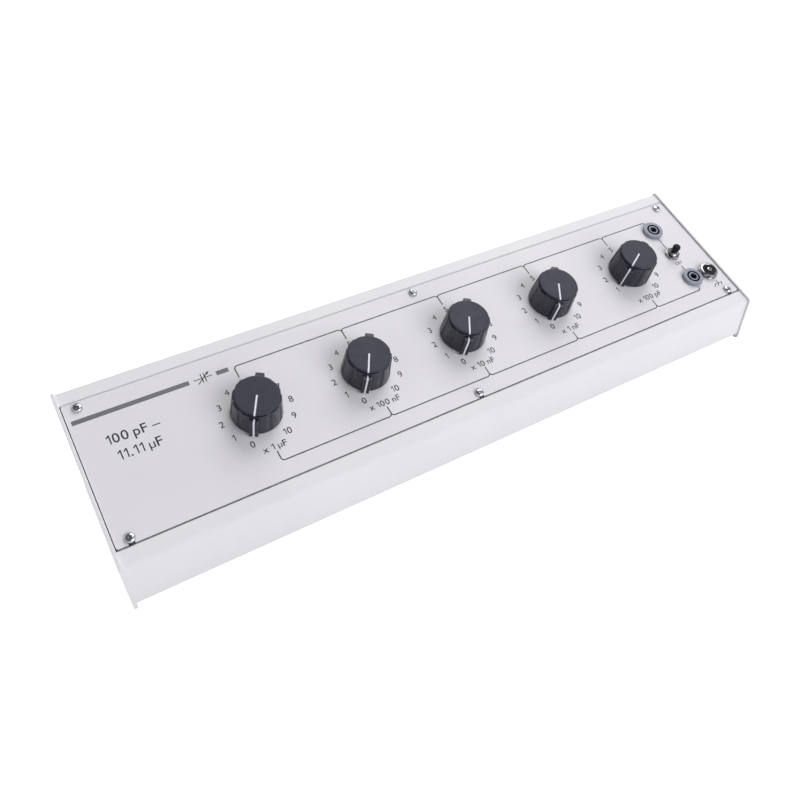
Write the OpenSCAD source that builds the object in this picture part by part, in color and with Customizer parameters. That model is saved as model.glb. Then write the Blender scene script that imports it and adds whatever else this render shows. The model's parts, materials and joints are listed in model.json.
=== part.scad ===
// Capacitance decade box: a sloping desk console with five rotary decades.
// X runs along the box, Y to the rear, Z up. The origin is under the middle of the
// box, on the surface that its feet stand on. Lengths are in millimetres.

/* [Panel] */
// Length of the front panel
panel_l = 443; // [432:1:470]
// Depth of the front panel, measured along its slope
panel_d = 90; // [88:0.5:100]
// Thickness of the front panel
panel_t = 1.5; // [1:0.1:2.5]
// Corner radius of the front panel
panel_corner_r = 1.5; // [0.5:0.1:3]
// Gap between the panel and the case around it
panel_gap = 0.5; // [0.3:0.05:1]
// Distance of the end screws from the ends of the panel
screw_end_inset = 8; // [6:0.1:10]
// Distance of the front screws from the front edge of the panel
screw_front_inset = 3.2; // [2.6:0.1:5]
// Distance of the rear screws from the rear edge of the panel
screw_rear_inset = 4.2; // [3:0.1:5]

/* [Case] */
// Slope of the panel, in degrees
slope = 20; // [18:0.5:24]
// Height of the front wall, up to the sharp corner of its bend
front_h = 30.5; // [29:0.5:40]
// Strip of the case in front of the panel, up to the same corner
front_strip = 10; // [9:0.1:14]
// Strip of the case behind the panel, up to the sharp corner of its bend
rear_strip = 10.2; // [9.8:0.1:15]
// Thickness of the case's sheet metal
sheet_t = 1.5; // [1.5:0.1:2]
// Outer radius of the bends
bend_r = 2.5; // [2.2:0.1:3]
// Rounding of the strips' edges beside the panel
edge_r = 1.2; // [0.3:0.1:1.4]
// Width of the flanges under the case
flange_w = 14; // [13:0.5:18]
// Thickness of the rails that carry the panel
rail_t = 2; // [1.5:0.1:3]
// Width of a rail under the panel
rail_seat = 7; // [6.5:0.1:9]
// Width of a rail under the strip beside the panel
rail_lap = 5; // [3:0.1:5.5]
// Thickness of the end plates
end_t = 2; // [1.5:0.1:3]
// How far the end plates stand proud of the case's front and top
end_lip = 1.2; // [0.5:0.1:2]
// How far the end plates reach below the case
end_drop = 2.5; // [1:0.1:3]
// Radius of the end plates' three smaller corners
end_corner_r = 2; // [1:0.1:3.5]
// Radius of the end plates' upper rear corner
end_peak_r = 2.5; // [2:0.1:4]
// Side of the square blocks that the end plates are screwed to
block_w = 8; // [7:0.5:10]
// Length of the same blocks
block_l = 10; // [9:0.5:14]
// Height of the rubber feet
foot_h = 3.5; // [3.3:0.1:8]
// Radius of the rubber feet
foot_r = 4.5; // [3.5:0.1:4.5]
// Distance of the feet from the front and the rear of the case
foot_side_inset = 9.4; // [8:0.1:9.4]
// Distance of the feet from the ends of the case
foot_end_inset = 17; // [12:0.5:22]

/* [Screws] */
// Radius of every screw's thread
screw_r = 1.5; // [1.2:0.05:1.7]
// Radius of the pan heads
head_r = 2.9; // [2.6:0.05:3.2]
// Height of the pan heads
head_h = 2; // [1.4:0.1:2.4]
// Length of the screws under the head
screw_l = 7; // [6:0.5:8]

/* [Dials] */
// Number of decades
decades = 5; // [5:1:5]
// Middle of the first knob, from the left end of the panel
dial_first = 95; // [90:0.5:100]
// Middle of the last knob, from the right end of the panel
dial_last = 68; // [65:0.5:72]
// Angle between two positions of a switch
dial_step = 30; // [30:1:30]
// Direction of the lowest number, counter-clockwise from +X
dial_zero = -120; // [-120:1:-120]

/* [Knobs] */
// Radius of a knob at the panel
knob_base_r = 14.8; // [14:0.1:16]
// Radius of a knob under its cap
knob_top_r = 13.6; // [13.3:0.1:14]
// Height of a knob without its cap
knob_h = 16.8; // [16.5:0.1:20]
// Gap between a knob and the panel
knob_lift = 0.6; // [0.4:0.1:1]
// Depth of the flutes
flute_depth = 0.7; // [0.3:0.05:0.9]
// Radius of the flutes
flute_r = 1.2; // [1:0.1:1.8]
// Divisions of a whole turn, with two fins and a flute in each other place
flute_count = 10; // [8:2:16]
// Reach of the pointer fin from the axis
fin_reach = 16.6; // [16.2:0.1:18]
// Width of the fins at their ends
fin_w = 5; // [4:0.1:5.6]
// Width of the fins where they leave the knob
fin_root_w = 5.7; // [5.6:0.1:6.2]
// How far the fins stay below the top of the knob
fin_drop = 1.4; // [0.4:0.1:2]
// Bevel on the upright edges of the fins
fin_bevel = 0.6; // [0.2:0.1:0.8]
// Radius of the cap
cap_r = 12.9; // [12.5:0.1:13.2]
// Thickness of the cap's disc
cap_t = 0.9; // [0.7:0.1:2]
// Groove between the cap and the knob
cap_groove = 0.5; // [0.3:0.1:1]
// Bevel on the cap's rim
cap_bevel = 0.6; // [0.2:0.05:0.65]
// Depth of the seat that holds the cap
cap_seat = 2.6; // [2:0.1:2.8]
// Radius of the cap's plug in that seat
cap_plug_r = 11.6; // [10.5:0.1:12]
// Radius of the hollow over the switch's nut
hollow_r = 9.3; // [9:0.1:10]
// Height of the same hollow above the panel
hollow_h = 6.5; // [6:0.1:8]
// Width of the white pointer line
mark_w = 1; // [0.6:0.1:1.6]
// Depth of the white pointer line
mark_t = 0.3; // [0.2:0.05:0.4]

/* [Switches] */
// Radius of a switch's shaft
shaft_r = 3; // [2.8:0.05:3.2]
// Radius of a switch's threaded bush
bush_r = 4.9; // [4.6:0.1:5.2]
// Height of the bush above the panel
bush_h = 5; // [4:0.1:5.4]
// Radius of the detent housing
detent_r = 15; // [14.5:0.1:17]
// Depth of the detent housing
detent_h = 6.5; // [5:0.1:8]
// Radius of a wafer
wafer_r = 17; // [16:0.1:18]
// Thickness of a wafer
wafer_t = 1.6; // [1.2:0.1:2]
// Distance between the housing and the wafers
wafer_gap = 6; // [4:0.1:6.5]
// Radius of the rotor in a wafer
rotor_r = 6.5; // [5:0.1:7]
// Reach of the solder tags beyond a wafer
tag_reach = 2.5; // [1.5:0.1:3]
// Radius of the spacer posts
post_r = 1.5; // [1.2:0.1:1.8]
// Distance of the posts from the shaft's axis
post_place = 12.5; // [11:0.1:13]
// Across-flats width of the switch nuts
switch_nut_af = 14; // [12.5:0.1:14.5]
// Thickness of the switch nuts
switch_nut_t = 2.2; // [1.5:0.1:3]

/* [Sockets] */
// Distance of the sockets' column from the right end of the panel
socket_end = 26.4; // [25.5:0.1:28]
// Distance of a socket from the middle line of the panel
socket_y = 23.3; // [22.5:0.1:26]
// Radius of a socket's collar
collar_r = 7.4; // [7:0.1:7.6]
// Height of a socket's collar
collar_h = 2.5; // [1.2:0.1:3]
// Bevel of a socket's collar
collar_bevel = 0.6; // [0.2:0.1:0.9]
// Radius of a socket's barrel
barrel_r = 6; // [5.6:0.1:6.3]
// Length of a socket's barrel below the panel's top
barrel_l = 20; // [18:0.5:21]
// Outer radius of the slot for a plug's sleeve
slot_r = 4.75; // [4.6:0.05:5]
// Radius of the core inside that slot
core_r = 3.5; // [3.3:0.05:3.6]
// Depth of the slot below the panel's top
slot_depth = 14; // [12:0.5:16]
// Radius of the contact's outside
contact_r = 2.4; // [2.3:0.05:2.6]
// Radius of the plug's bore
plug_r = 2; // [1.9:0.05:2]
// Depth of the plug's bore below the panel's top
plug_depth = 16; // [14:0.5:17]
// How far the contact stays below the collar's face
contact_sink = 1.9; // [0.5:0.1:2.4]
// Across-flats width of the socket nuts
socket_nut_af = 14; // [13.5:0.1:14.4]
// Thickness of the socket nuts
socket_nut_t = 3; // [2:0.1:4]
// Radius of the bus wires and of the contacts' tails
wire_r = 0.8; // [0.5:0.05:1]

/* [Toggle] */
// Across-flats width of the toggle's nut
toggle_nut_af = 9.6; // [8.5:0.1:10.5]
// Thickness of the toggle's nut
toggle_nut_t = 2.2; // [1.6:0.1:2.4]
// Radius of the toggle's bush
toggle_bush_r = 3.1; // [2.9:0.05:3.3]
// Height of the toggle's bush above the panel
toggle_bush_h = 3.4; // [3:0.1:3.6]
// Radius of the lever's ball
ball_r = 2; // [1.8:0.05:2.1]
// Height of the ball's middle above the panel
ball_h = 1; // [0.8:0.1:1.2]
// Radius of the lever's rod
lever_r = 1.2; // [1:0.05:1.4]
// Radius of the lever's sleeve
sleeve_r = 2.75; // [2.3:0.05:3]
// Start of the sleeve above the panel
sleeve_start = 4.7; // [4.6:0.1:5.5]
// End of the sleeve above the panel
sleeve_end = 9.2; // [8.4:0.1:12]
// Reach of the lever's tail below the panel's top
tail_reach = 6; // [5:0.1:7]
// Width of the toggle's case, along the box
toggle_case_w = 8; // [7:0.1:10]
// Depth of the toggle's case, across the box
toggle_case_d = 13; // [12:0.1:15]
// Height of the toggle's case
toggle_case_h = 9; // [8:0.1:11]
// Thickness of the toggle's metal frame
toggle_frame_t = 1.5; // [1:0.1:2]

/* [Earth terminal] */
// Distance of the terminal from the right end of the panel
earth_end = 11.3; // [10:0.1:11.4]
// Radius of the terminal's flange
earth_flange_r = 7; // [6.7:0.05:7.2]
// Thickness of the flange
earth_flange_t = 1; // [0.6:0.1:1.4]
// Radius of the terminal's ring
earth_ring_r = 6.4; // [6.1:0.1:6.6]
// Height of the ring
earth_ring_h = 3.4; // [2.8:0.1:5]
// Bevel of the ring
earth_bevel = 0.5; // [0.2:0.1:0.8]
// Width of the ring's wrench notches
earth_notch_w = 2.2; // [1.5:0.1:3]
// Radius of the black insert
earth_insert_r = 4.6; // [4.4:0.05:5]
// Radius of the insert's stem through the panel
earth_stem_r = 3.9; // [3.5:0.05:4.1]
// Radius of the middle contact
earth_pin_r = 1.7; // [1.4:0.05:2]
// Radius of the hole in the middle contact
earth_hole_r = 0.8; // [0.5:0.05:1]
// Across-flats width of the terminal's nut
earth_nut_af = 10; // [9.4:0.1:10.2]
// Thickness of the terminal's nut
earth_nut_t = 2.5; // [2:0.1:3]

/* [Capacitors] */
// Distance of the capacitor board from the ends of the panel
board_end = 31.5; // [27:0.5:36]
// Width of the capacitor board
board_w = 34; // [32:0.5:36]
// Thickness of the capacitor board
board_t = 1.6; // [1.2:0.1:2]
// Gap between the board and the rear wall
board_rear_gap = 4; // [3:0.5:5]
// Height of the board's standoffs
standoff_h = 4; // [3:0.1:4.5]
// Radius of the board's standoffs
standoff_r = 3; // [2.5:0.1:3.5]
// Distance of the standoffs from the board's edges
standoff_inset = 5; // [4:0.1:6]
// Capacitors in one decade
caps_per_decade = 4; // [2:1:4]
// Width of the largest capacitors
box_w = 11; // [9:0.1:12]
// Length of the largest capacitors
box_l = 26; // [22:0.5:28]
// Height of the largest capacitors
box_h = 11; // [9:0.1:12]
// Ratio of a capacitor's size to the next larger decade's
box_ratio = 0.82; // [0.75:0.01:0.95]
// Gap between neighbouring capacitors
box_gap = 1; // [0.5:0.1:2]

/* [Hidden] */
$fn = 64;

// Clearances: a fixed fit, a running fit and a free gap
fit = 0.03;
running = 0.05;
clear = 0.4;

// Points in the steps of a rounded corner
corner_steps = 6;

// Places in the YZ section of the case
case_l = panel_l + 2 * panel_gap;
top_l = front_strip + panel_d + 2 * panel_gap + rear_strip;
case_d = top_l * cos(slope);
front_y = (end_lip - case_d) / 2;
rear_y = front_y + case_d;
case_z = foot_h;
front_z = case_z + front_h;
rear_z = front_z + case_d * tan(slope);
front_tangent = bend_r * tan((90 - slope) / 2);
rear_tangent = bend_r * tan((90 + slope) / 2);
floor_z = case_z + 2 * sheet_t;

// Middle of the panel's top face
panel_s = front_strip + panel_gap + panel_d / 2;
panel_step = panel_t - sheet_t;
panel_y = front_y + panel_s * cos(slope) - panel_step * sin(slope);
panel_z = front_z + panel_s * sin(slope) + panel_step * cos(slope);

// Places on the panel, from its middle
screw_xs = [-panel_l / 2 + screw_end_inset, 0, panel_l / 2 - screw_end_inset];
screw_front_y = -panel_d / 2 + screw_front_inset;
screw_rear_y = panel_d / 2 - screw_rear_inset;
socket_x = panel_l / 2 - socket_end;
socket_ys = [socket_y, -socket_y];
earth_x = panel_l / 2 - earth_end;
earth_y = -socket_y;
dial_pitch = (panel_l - dial_first - dial_last) / (decades - 1);
function dial_x(i) = -panel_l / 2 + dial_first + i * dial_pitch;

// Positions at which the pointers stand, counted from the lowest number of a full dial
rest_steps = [0, 0, 0, 0, 1];
function dial_angle(i) = dial_zero - dial_step * rest_steps[i];

// Levels below the panel's top
under = -panel_t;
detent_z = under - detent_h;
wafer_zs = [for (k = [1, 2]) detent_z - k * (wafer_gap + wafer_t)];
shaft_low = wafer_zs[1] - 2;
shaft_top = knob_h - cap_seat - 1;
bus_y = wafer_r + tag_reach + wire_r + running;
bus_z = wafer_zs[1] + wafer_t / 2;

// Board
board_l = panel_l - 2 * board_end;
board_y = rear_y - sheet_t - board_rear_gap - board_w / 2;
board_z = floor_z + standoff_h;
board_xs = [-board_l / 2 + standoff_inset, (dial_x(1) + dial_x(2)) / 2, board_l / 2 - standoff_inset];
board_ys = [board_y - board_w / 2 + standoff_inset, board_y + board_w / 2 - standoff_inset];

// Stands children on the panel's top face, from the middle of the panel
module on_panel(x = 0, y = 0, z = 0)
    translate([0, panel_y, panel_z])
        rotate([slope, 0, 0])
            translate([x, y, z])
                children();

// Extrudes a section drawn in Y and Z along the box
module along_x(length)
    rotate([90, 0, 90])
        linear_extrude(length, center = true)
            children();

// Direction of an angle in a section
function toward(a) = [cos(a), sin(a)];

// Point of the case's section, a distance up its slope and a depth below it
function slope_point(s, depth = 0) =
    [front_y, front_z] + s * toward(slope) - depth * toward(90 + slope);

// What a rounding takes off a sharp corner, between two directions from its centre
module corner_cut(centre, from, to, r)
    translate(centre)
        difference() {
            polygon(concat([[0, 0]], [for (a = [from, (from + to) / 2, to]) 2 * r * toward(a)]));
            circle(r);
        }

// What a fold takes off its sharp outer corner and out of its inside
module bend_cut(centre, from, to) {
    corner_cut(centre, from, to, bend_r);
    translate(centre)
        circle(bend_r - sheet_t);
}

// Points of a convex outline, counter-clockwise, with each corner rounded by its own radius
function unit(v) = v / norm(v);
function rounded(points, radii) = [
    for (i = [0:len(points) - 1])
        let (
            p = points[i],
            r = radii[i],
            before = unit(points[(i + len(points) - 1) % len(points)] - p),
            after = unit(points[(i + 1) % len(points)] - p),
            half = acos(before * after) / 2,
            centre = p + unit(before + after) * r / sin(half),
            start = atan2(before[0], -before[1])
        )
        for (k = [0:corner_steps])
            let (a = start + (180 - 2 * half) * k / corner_steps)
            centre + r * [cos(a), sin(a)]
];

// Hexagon by its width across flats
module hexagon(af)
    circle(r = af / sqrt(3), $fn = 6);

// Nut with a bevelled upper face, standing on z = 0
module nut(af, t, hole_r) {
    corner_r = af / sqrt(3);
    difference() {
        intersection() {
            linear_extrude(t)
                hexagon(af);
            cylinder(h = t, r1 = corner_r + t, r2 = af / 2);
        }
        translate([0, 0, -1])
            cylinder(h = t + 2, r = hole_r);
    }
}

// Pan-head screw, its head standing on z = 0
module pan_screw(length) {
    recess_l = 1.2 * head_r;
    recess_w = 0.28 * head_r;
    difference() {
        union() {
            rotate_extrude()
                polygon([[0, 0], [head_r, 0], [head_r, 0.45 * head_h], [0.78 * head_r, 0.86 * head_h],
                         [0.4 * head_r, head_h], [0, head_h]]);
            translate([0, 0, -length])
                cylinder(h = length, r = screw_r);
        }
        for (a = [0, 90])
            rotate(a)
                translate([-recess_l / 2, -recess_w / 2, 0.4 * head_h])
                    cube([recess_l, recess_w, head_h]);
    }
}

// Countersunk screw, its flat head flush with z = 0
module flat_screw(length)
    rotate_extrude()
        polygon([[0, 0], [2 * screw_r, 0], [screw_r, -screw_r], [screw_r, -length], [0, -length]]);

// Hole for a countersunk screw
module flat_screw_hole(length)
    rotate_extrude()
        polygon([[0, 1], [2 * screw_r + fit, 1], [2 * screw_r + fit, 0], [screw_r + fit, -screw_r],
                 [screw_r + fit, -length], [0, -length]]);

module front_wall() {
    low_fold = [front_y + bend_r, case_z + bend_r];
    high_fold = [front_y + bend_r, front_z - front_tangent];
    inner_r = bend_r - sheet_t;
    color("gainsboro")
        difference() {
            along_x(case_l)
                difference() {
                    polygon([[front_y + flange_w, case_z],
                             [front_y + flange_w, case_z + sheet_t],
                             low_fold + inner_r * toward(270),
                             low_fold + inner_r * toward(180),
                             high_fold + inner_r * toward(180),
                             high_fold + inner_r * toward(90 + slope),
                             slope_point(front_strip, sheet_t),
                             slope_point(front_strip),
                             [front_y, front_z],
                             [front_y, case_z]]);
                    bend_cut(low_fold, 180, 270);
                    bend_cut(high_fold, 90 + slope, 180);
                    corner_cut(slope_point(front_strip - edge_r, edge_r), slope, 90 + slope, edge_r);
                }
            base_screw_holes(1);
        }
}

module rear_wall() {
    low_fold = [rear_y - bend_r, case_z + bend_r];
    high_fold = [rear_y - bend_r, rear_z - rear_tangent];
    inner_r = bend_r - sheet_t;
    color("gainsboro")
        difference() {
            along_x(case_l)
                difference() {
                    polygon([[rear_y - flange_w, case_z],
                             [rear_y, case_z],
                             [rear_y, rear_z],
                             slope_point(top_l - rear_strip),
                             slope_point(top_l - rear_strip, sheet_t),
                             high_fold + inner_r * toward(90 + slope),
                             high_fold + inner_r * toward(0),
                             low_fold + inner_r * toward(0),
                             low_fold + inner_r * toward(270),
                             [rear_y - flange_w, case_z + sheet_t]]);
                    bend_cut(low_fold, 270, 360);
                    bend_cut(high_fold, 0, 90 + slope);
                    corner_cut(slope_point(top_l - rear_strip + edge_r, edge_r), 90 + slope, 180 + slope, edge_r);
                }
            base_screw_holes(-1);
        }
}

// Places of the screws that hold the base plate, at the front (1) or the rear (-1)
module at_base_screws(side) {
    screw_y = (flange_w + bend_r) / 2;
    end_x = case_l / 2 - foot_end_inset - foot_r - 2 * head_r;
    for (x = [-end_x, 0, end_x])
        translate([x, side > 0 ? front_y + screw_y : rear_y - screw_y, case_z])
            children();
}

module base_screw_holes(side)
    at_base_screws(side)
        translate([0, 0, -1])
            cylinder(h = sheet_t + 2, r = screw_r + fit);

module base_plate() {
    inset = bend_r + clear;
    color("gainsboro")
        difference() {
            translate([-case_l / 2 + clear, front_y + inset, case_z + sheet_t])
                cube([case_l - 2 * clear, case_d - 2 * inset, sheet_t]);
            for (side = [1, -1])
                at_base_screws(side)
                    cylinder(h = 3 * sheet_t, r = screw_r + fit);
        }
}

module base_screws()
    color("silver")
        for (side = [1, -1])
            at_base_screws(side)
                mirror([0, 0, 1])
                    pan_screw(screw_l);

module feet()
    color("dimgray")
        for (side = [-1, 1], y = [front_y + foot_side_inset, rear_y - foot_side_inset])
            translate([side * (case_l / 2 - foot_end_inset), y, 0])
                cylinder(h = foot_h, r1 = 0.85 * foot_r, r2 = foot_r);

// Outline of an end plate in Y and Z
function top_edge_z(y) = front_z + (y - front_y) * tan(slope) + end_lip / cos(slope);
end_front_y = front_y - end_lip;
end_outline = [
    [end_front_y, case_z - end_drop],
    [rear_y, case_z - end_drop],
    [rear_y, top_edge_z(rear_y)],
    [end_front_y, top_edge_z(end_front_y)]
];
end_radii = [end_corner_r, end_corner_r, end_peak_r, end_corner_r];

// Places of the end plate's screws and of the blocks behind them, in Y and Z
block_places = [
    [front_y + sheet_t + block_w / 2, floor_z + block_w / 2],
    [rear_y - sheet_t - block_w / 2, floor_z + block_w / 2],
    [rear_y - sheet_t - block_w / 2, rear_z - 2.2 * block_w]
];

module at_end_screws(side)
    for (p = block_places)
        translate([side * (case_l / 2 + end_t), p[0], p[1]])
            rotate([0, side * 90, 0])
                children();

module end_plate(side)
    color("gainsboro")
        difference() {
            translate([side * (case_l + end_t) / 2, 0, 0])
                along_x(end_t)
                    polygon(rounded(end_outline, end_radii));
            at_end_screws(side)
                flat_screw_hole(end_t + 1);
        }

module end_blocks()
    color("silver")
        difference() {
            for (side = [-1, 1], p = block_places)
                translate([side * (case_l - block_l) / 2, p[0], p[1]])
                    cube([block_l, block_w, block_w], center = true);
            for (side = [-1, 1])
                at_end_screws(side)
                    translate([0, 0, -screw_l - end_t])
                        cylinder(h = screw_l + end_t, r = screw_r + fit);
        }

module end_plate_screws()
    color("silver")
        for (side = [-1, 1])
            at_end_screws(side)
                flat_screw(screw_l);

// Rail under the panel's edge, at the front (-1) or the rear (1)
module rail(side, screw_y) {
    width = rail_seat + panel_gap + rail_lap;
    edge = side * (panel_d / 2 + panel_gap + rail_lap);
    color("silver")
        on_panel()
            difference() {
                translate([-case_l / 2 + clear, side > 0 ? edge - width : edge, under - rail_t])
                    cube([case_l - 2 * clear, width, rail_t]);
                for (x = screw_xs)
                    translate([x, screw_y, under - rail_t - 1])
                        cylinder(h = rail_t + 2, r = screw_r + fit);
            }
}

module front_rail()
    rail(-1, screw_front_y);

module rear_rail()
    rail(1, screw_rear_y);

// Hole right through the panel
module panel_hole(x, y, r)
    translate([x, y, under - 1])
        cylinder(h = panel_t + 2, r = r);

module panel() {
    half = [panel_l, panel_d] / 2;
    outline = [[-half[0], -half[1]], [half[0], -half[1]], half, [-half[0], half[1]]];
    radii = [for (p = outline) panel_corner_r];
    notch_w = 2 * (screw_r + clear / 2);
    color("whitesmoke")
        on_panel()
            difference() {
                translate([0, 0, under])
                    linear_extrude(panel_t)
                        polygon(rounded(outline, radii));
                for (x = screw_xs) {
                    panel_hole(x, screw_rear_y, notch_w / 2);
                    panel_hole(x, screw_front_y, notch_w / 2);
                    translate([x - notch_w / 2, -half[1] - 1, under - 1])
                        cube([notch_w, screw_front_inset + 1, panel_t + 2]);
                }
                for (i = [0:decades - 1])
                    panel_hole(dial_x(i), 0, bush_r + fit);
                for (y = socket_ys)
                    panel_hole(socket_x, y, barrel_r + fit);
                panel_hole(socket_x, 0, toggle_bush_r + fit);
                panel_hole(earth_x, earth_y, earth_stem_r + fit);
            }
}

module panel_screws()
    color("silver")
        for (x = screw_xs, y = [screw_front_y, screw_rear_y])
            on_panel(x, y)
                pan_screw(screw_l);

// Radius of a knob's side at a height above the panel
function knob_r(z) = knob_base_r + (knob_top_r - knob_base_r) * (z - knob_lift) / (knob_h - knob_lift);

// Plan of a fin along +X, from inside the knob
module fin_plan() {
    root_x = knob_top_r - 1;
    polygon([[0, -fin_root_w / 2], [root_x, -fin_root_w / 2], [fin_reach - fin_bevel, -fin_w / 2],
             [fin_reach, -fin_w / 2 + fin_bevel], [fin_reach, fin_w / 2 - fin_bevel],
             [fin_reach - fin_bevel, fin_w / 2], [root_x, fin_root_w / 2], [0, fin_root_w / 2]]);
}

// Knob with flutes and two fins, its pointer fin along +X
module knob_form() {
    lean = atan((knob_base_r - knob_top_r) / (knob_h - knob_lift));
    fin_places = [0, flute_count / 2];
    difference() {
        union() {
            difference() {
                rotate_extrude()
                    polygon([[0, knob_lift], [knob_base_r, knob_lift], [knob_top_r, knob_h], [0, knob_h]]);
                for (k = [0:flute_count - 1])
                    if (len(search(k, fin_places)) == 0)
                        rotate(360 / flute_count * k)
                            translate([knob_base_r + flute_r - flute_depth, 0, knob_lift])
                                rotate([0, -lean, 0])
                                    cylinder(h = 2.5 * knob_h, r = flute_r, center = true);
            }
            for (k = fin_places)
                rotate(360 / flute_count * k)
                    translate([0, 0, knob_lift])
                        linear_extrude(knob_h - fin_drop - knob_lift)
                            fin_plan();
        }
        translate([0, 0, knob_lift - 1])
            cylinder(h = hollow_h - knob_lift + 1, r = hollow_r);
        cylinder(h = knob_h, r = shaft_r + fit);
        translate([0, 0, knob_h - cap_seat])
            cylinder(h = cap_seat + 1, r = cap_plug_r + fit);
    }
}

// Band of the white line on the pointer fin: over its top and down its face
module fin_mark_zone() {
    fin_top = knob_h - fin_drop;
    difference() {
        translate([0, -mark_w / 2, knob_lift])
            cube([fin_reach + 1, mark_w, fin_top]);
        translate([0, -mark_w, knob_lift - 1])
            cube([fin_reach - mark_t, 2 * mark_w, fin_top - mark_t - knob_lift + 1]);
        cylinder(h = 2 * knob_h, r = knob_top_r);
    }
}

// Cap with its plug
module cap_form() {
    low = knob_h + cap_groove;
    rotate_extrude()
        polygon([[0, knob_h - cap_seat], [cap_plug_r, knob_h - cap_seat], [cap_plug_r, low], [cap_r, low],
                 [cap_r, low + cap_t - cap_bevel], [cap_r - cap_bevel, low + cap_t], [0, low + cap_t]]);
}

// Band of the white line on the cap, from the middle to the rim
module cap_mark_zone()
    translate([0, -mark_w / 2, knob_h + cap_groove + cap_t - mark_t])
        cube([cap_r + 1, mark_w, mark_t + 1]);

// Places a dial's pieces, turned to where its pointer stands
module on_dial(i)
    on_panel(dial_x(i))
        rotate(dial_angle(i))
            children();

module knob(i)
    color([0.17, 0.17, 0.19])
        on_dial(i)
            difference() {
                knob_form();
                fin_mark_zone();
            }

module knob_cap(i)
    color([0.27, 0.28, 0.33])
        on_dial(i)
            difference() {
                cap_form();
                cap_mark_zone();
            }

module pointer_mark(i)
    color("white")
        on_dial(i) {
            intersection() {
                cap_form();
                cap_mark_zone();
            }
            intersection() {
                knob_form();
                fin_mark_zone();
            }
        }

module switch_shaft(i)
    color("silver")
        on_dial(i) {
            translate([0, 0, shaft_low])
                cylinder(h = shaft_top - shaft_low, r = shaft_r);
            for (z = wafer_zs)
                translate([0, 0, z])
                    cylinder(h = wafer_t, r = rotor_r);
        }

module switch_bush(i)
    color("silver")
        on_panel(dial_x(i))
            difference() {
                union() {
                    translate([0, 0, detent_z])
                        cylinder(h = detent_h, r = detent_r);
                    translate([0, 0, detent_z])
                        cylinder(h = bush_h - detent_z, r = bush_r);
                    for (side = [-1, 1])
                        translate([side * post_place, 0, wafer_zs[1] - 1])
                            cylinder(h = detent_z - wafer_zs[1] + 1, r = post_r);
                }
                translate([0, 0, detent_z - 1])
                    cylinder(h = bush_h - detent_z + 2, r = shaft_r + running);
            }

module switch_nuts()
    color("silver")
        for (i = [0:decades - 1])
            on_panel(dial_x(i))
                nut(switch_nut_af, switch_nut_t, bush_r + fit);

module wafer()
    difference() {
        union() {
            cylinder(h = wafer_t, r = wafer_r);
            for (k = [0:11])
                rotate(k * 30)
                    translate([wafer_r - 1, -1, 0])
                        cube([tag_reach + 1, 2, wafer_t]);
        }
        translate([0, 0, -1])
            cylinder(h = wafer_t + 2, r = rotor_r + clear);
        for (side = [-1, 1])
            translate([side * post_place, 0, -1])
                cylinder(h = wafer_t + 2, r = post_r + fit);
    }

module switch_wafers()
    color("peru")
        for (i = [0:decades - 1], z = wafer_zs)
            on_panel(dial_x(i), 0, z)
                wafer();

module socket_housing(y)
    color([0.62, 0.65, 0.71])
        on_panel(socket_x, y)
            difference() {
                rotate_extrude()
                    polygon([[0, -barrel_l], [barrel_r, -barrel_l], [barrel_r, 0], [collar_r, 0],
                             [collar_r, collar_h - collar_bevel], [collar_r - collar_bevel, collar_h],
                             [0, collar_h]]);
                translate([0, 0, -slot_depth])
                    difference() {
                        cylinder(h = slot_depth + collar_h + 1, r = slot_r);
                        translate([0, 0, -1])
                            cylinder(h = slot_depth + collar_h + 3, r = core_r);
                    }
                translate([0, 0, -barrel_l - 1])
                    cylinder(h = barrel_l + collar_h + 2, r = contact_r + fit);
            }

// Contact with its plug bore, a tail and a tag that reaches to the bus wire
module socket_contact(y) {
    contact_top = collar_h - contact_sink;
    side = sign(y);
    tag_end = bus_y + wire_r + running;
    color("silver")
        on_panel(socket_x)
            difference() {
                union() {
                    translate([0, y, -barrel_l])
                        cylinder(h = barrel_l + contact_top, r = contact_r);
                    translate([0, y, bus_z - wire_r])
                        cylinder(h = -barrel_l - bus_z + wire_r, r = 2 * wire_r);
                    translate([-wire_r, side > 0 ? tag_end : y, bus_z - wire_r])
                        cube([2 * wire_r, socket_y - tag_end, 2 * wire_r]);
                }
                translate([0, y, -plug_depth])
                    cylinder(h = plug_depth + contact_top + 1, r = plug_r);
            }
}

module socket_nuts()
    color("silver")
        for (y = socket_ys)
            on_panel(socket_x, y, under)
                mirror([0, 0, 1])
                    nut(socket_nut_af, socket_nut_t, barrel_r + fit);

module bus_wires()
    color("silver")
        for (side = [-1, 1])
            on_panel(dial_x(0) - 3 * post_r, side * bus_y, bus_z)
                rotate([0, 90, 0])
                    cylinder(h = socket_x - dial_x(0) + 6 * post_r, r = wire_r);

module toggle_bush()
    color("silver")
        on_panel(socket_x)
            difference() {
                union() {
                    translate([0, 0, under])
                        cylinder(h = toggle_bush_h - under, r = toggle_bush_r);
                    translate([-toggle_case_w / 2, -toggle_case_d / 2, under - toggle_frame_t])
                        cube([toggle_case_w, toggle_case_d, toggle_frame_t]);
                }
                translate([0, 0, under - toggle_frame_t - 1])
                    cylinder(h = toggle_frame_t + 1 - under + ball_h + lever_r, r = ball_r + running);
                translate([0, 0, ball_h])
                    cylinder(h = toggle_bush_h - ball_h, r1 = lever_r + clear, r2 = toggle_bush_r - clear);
            }

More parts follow.
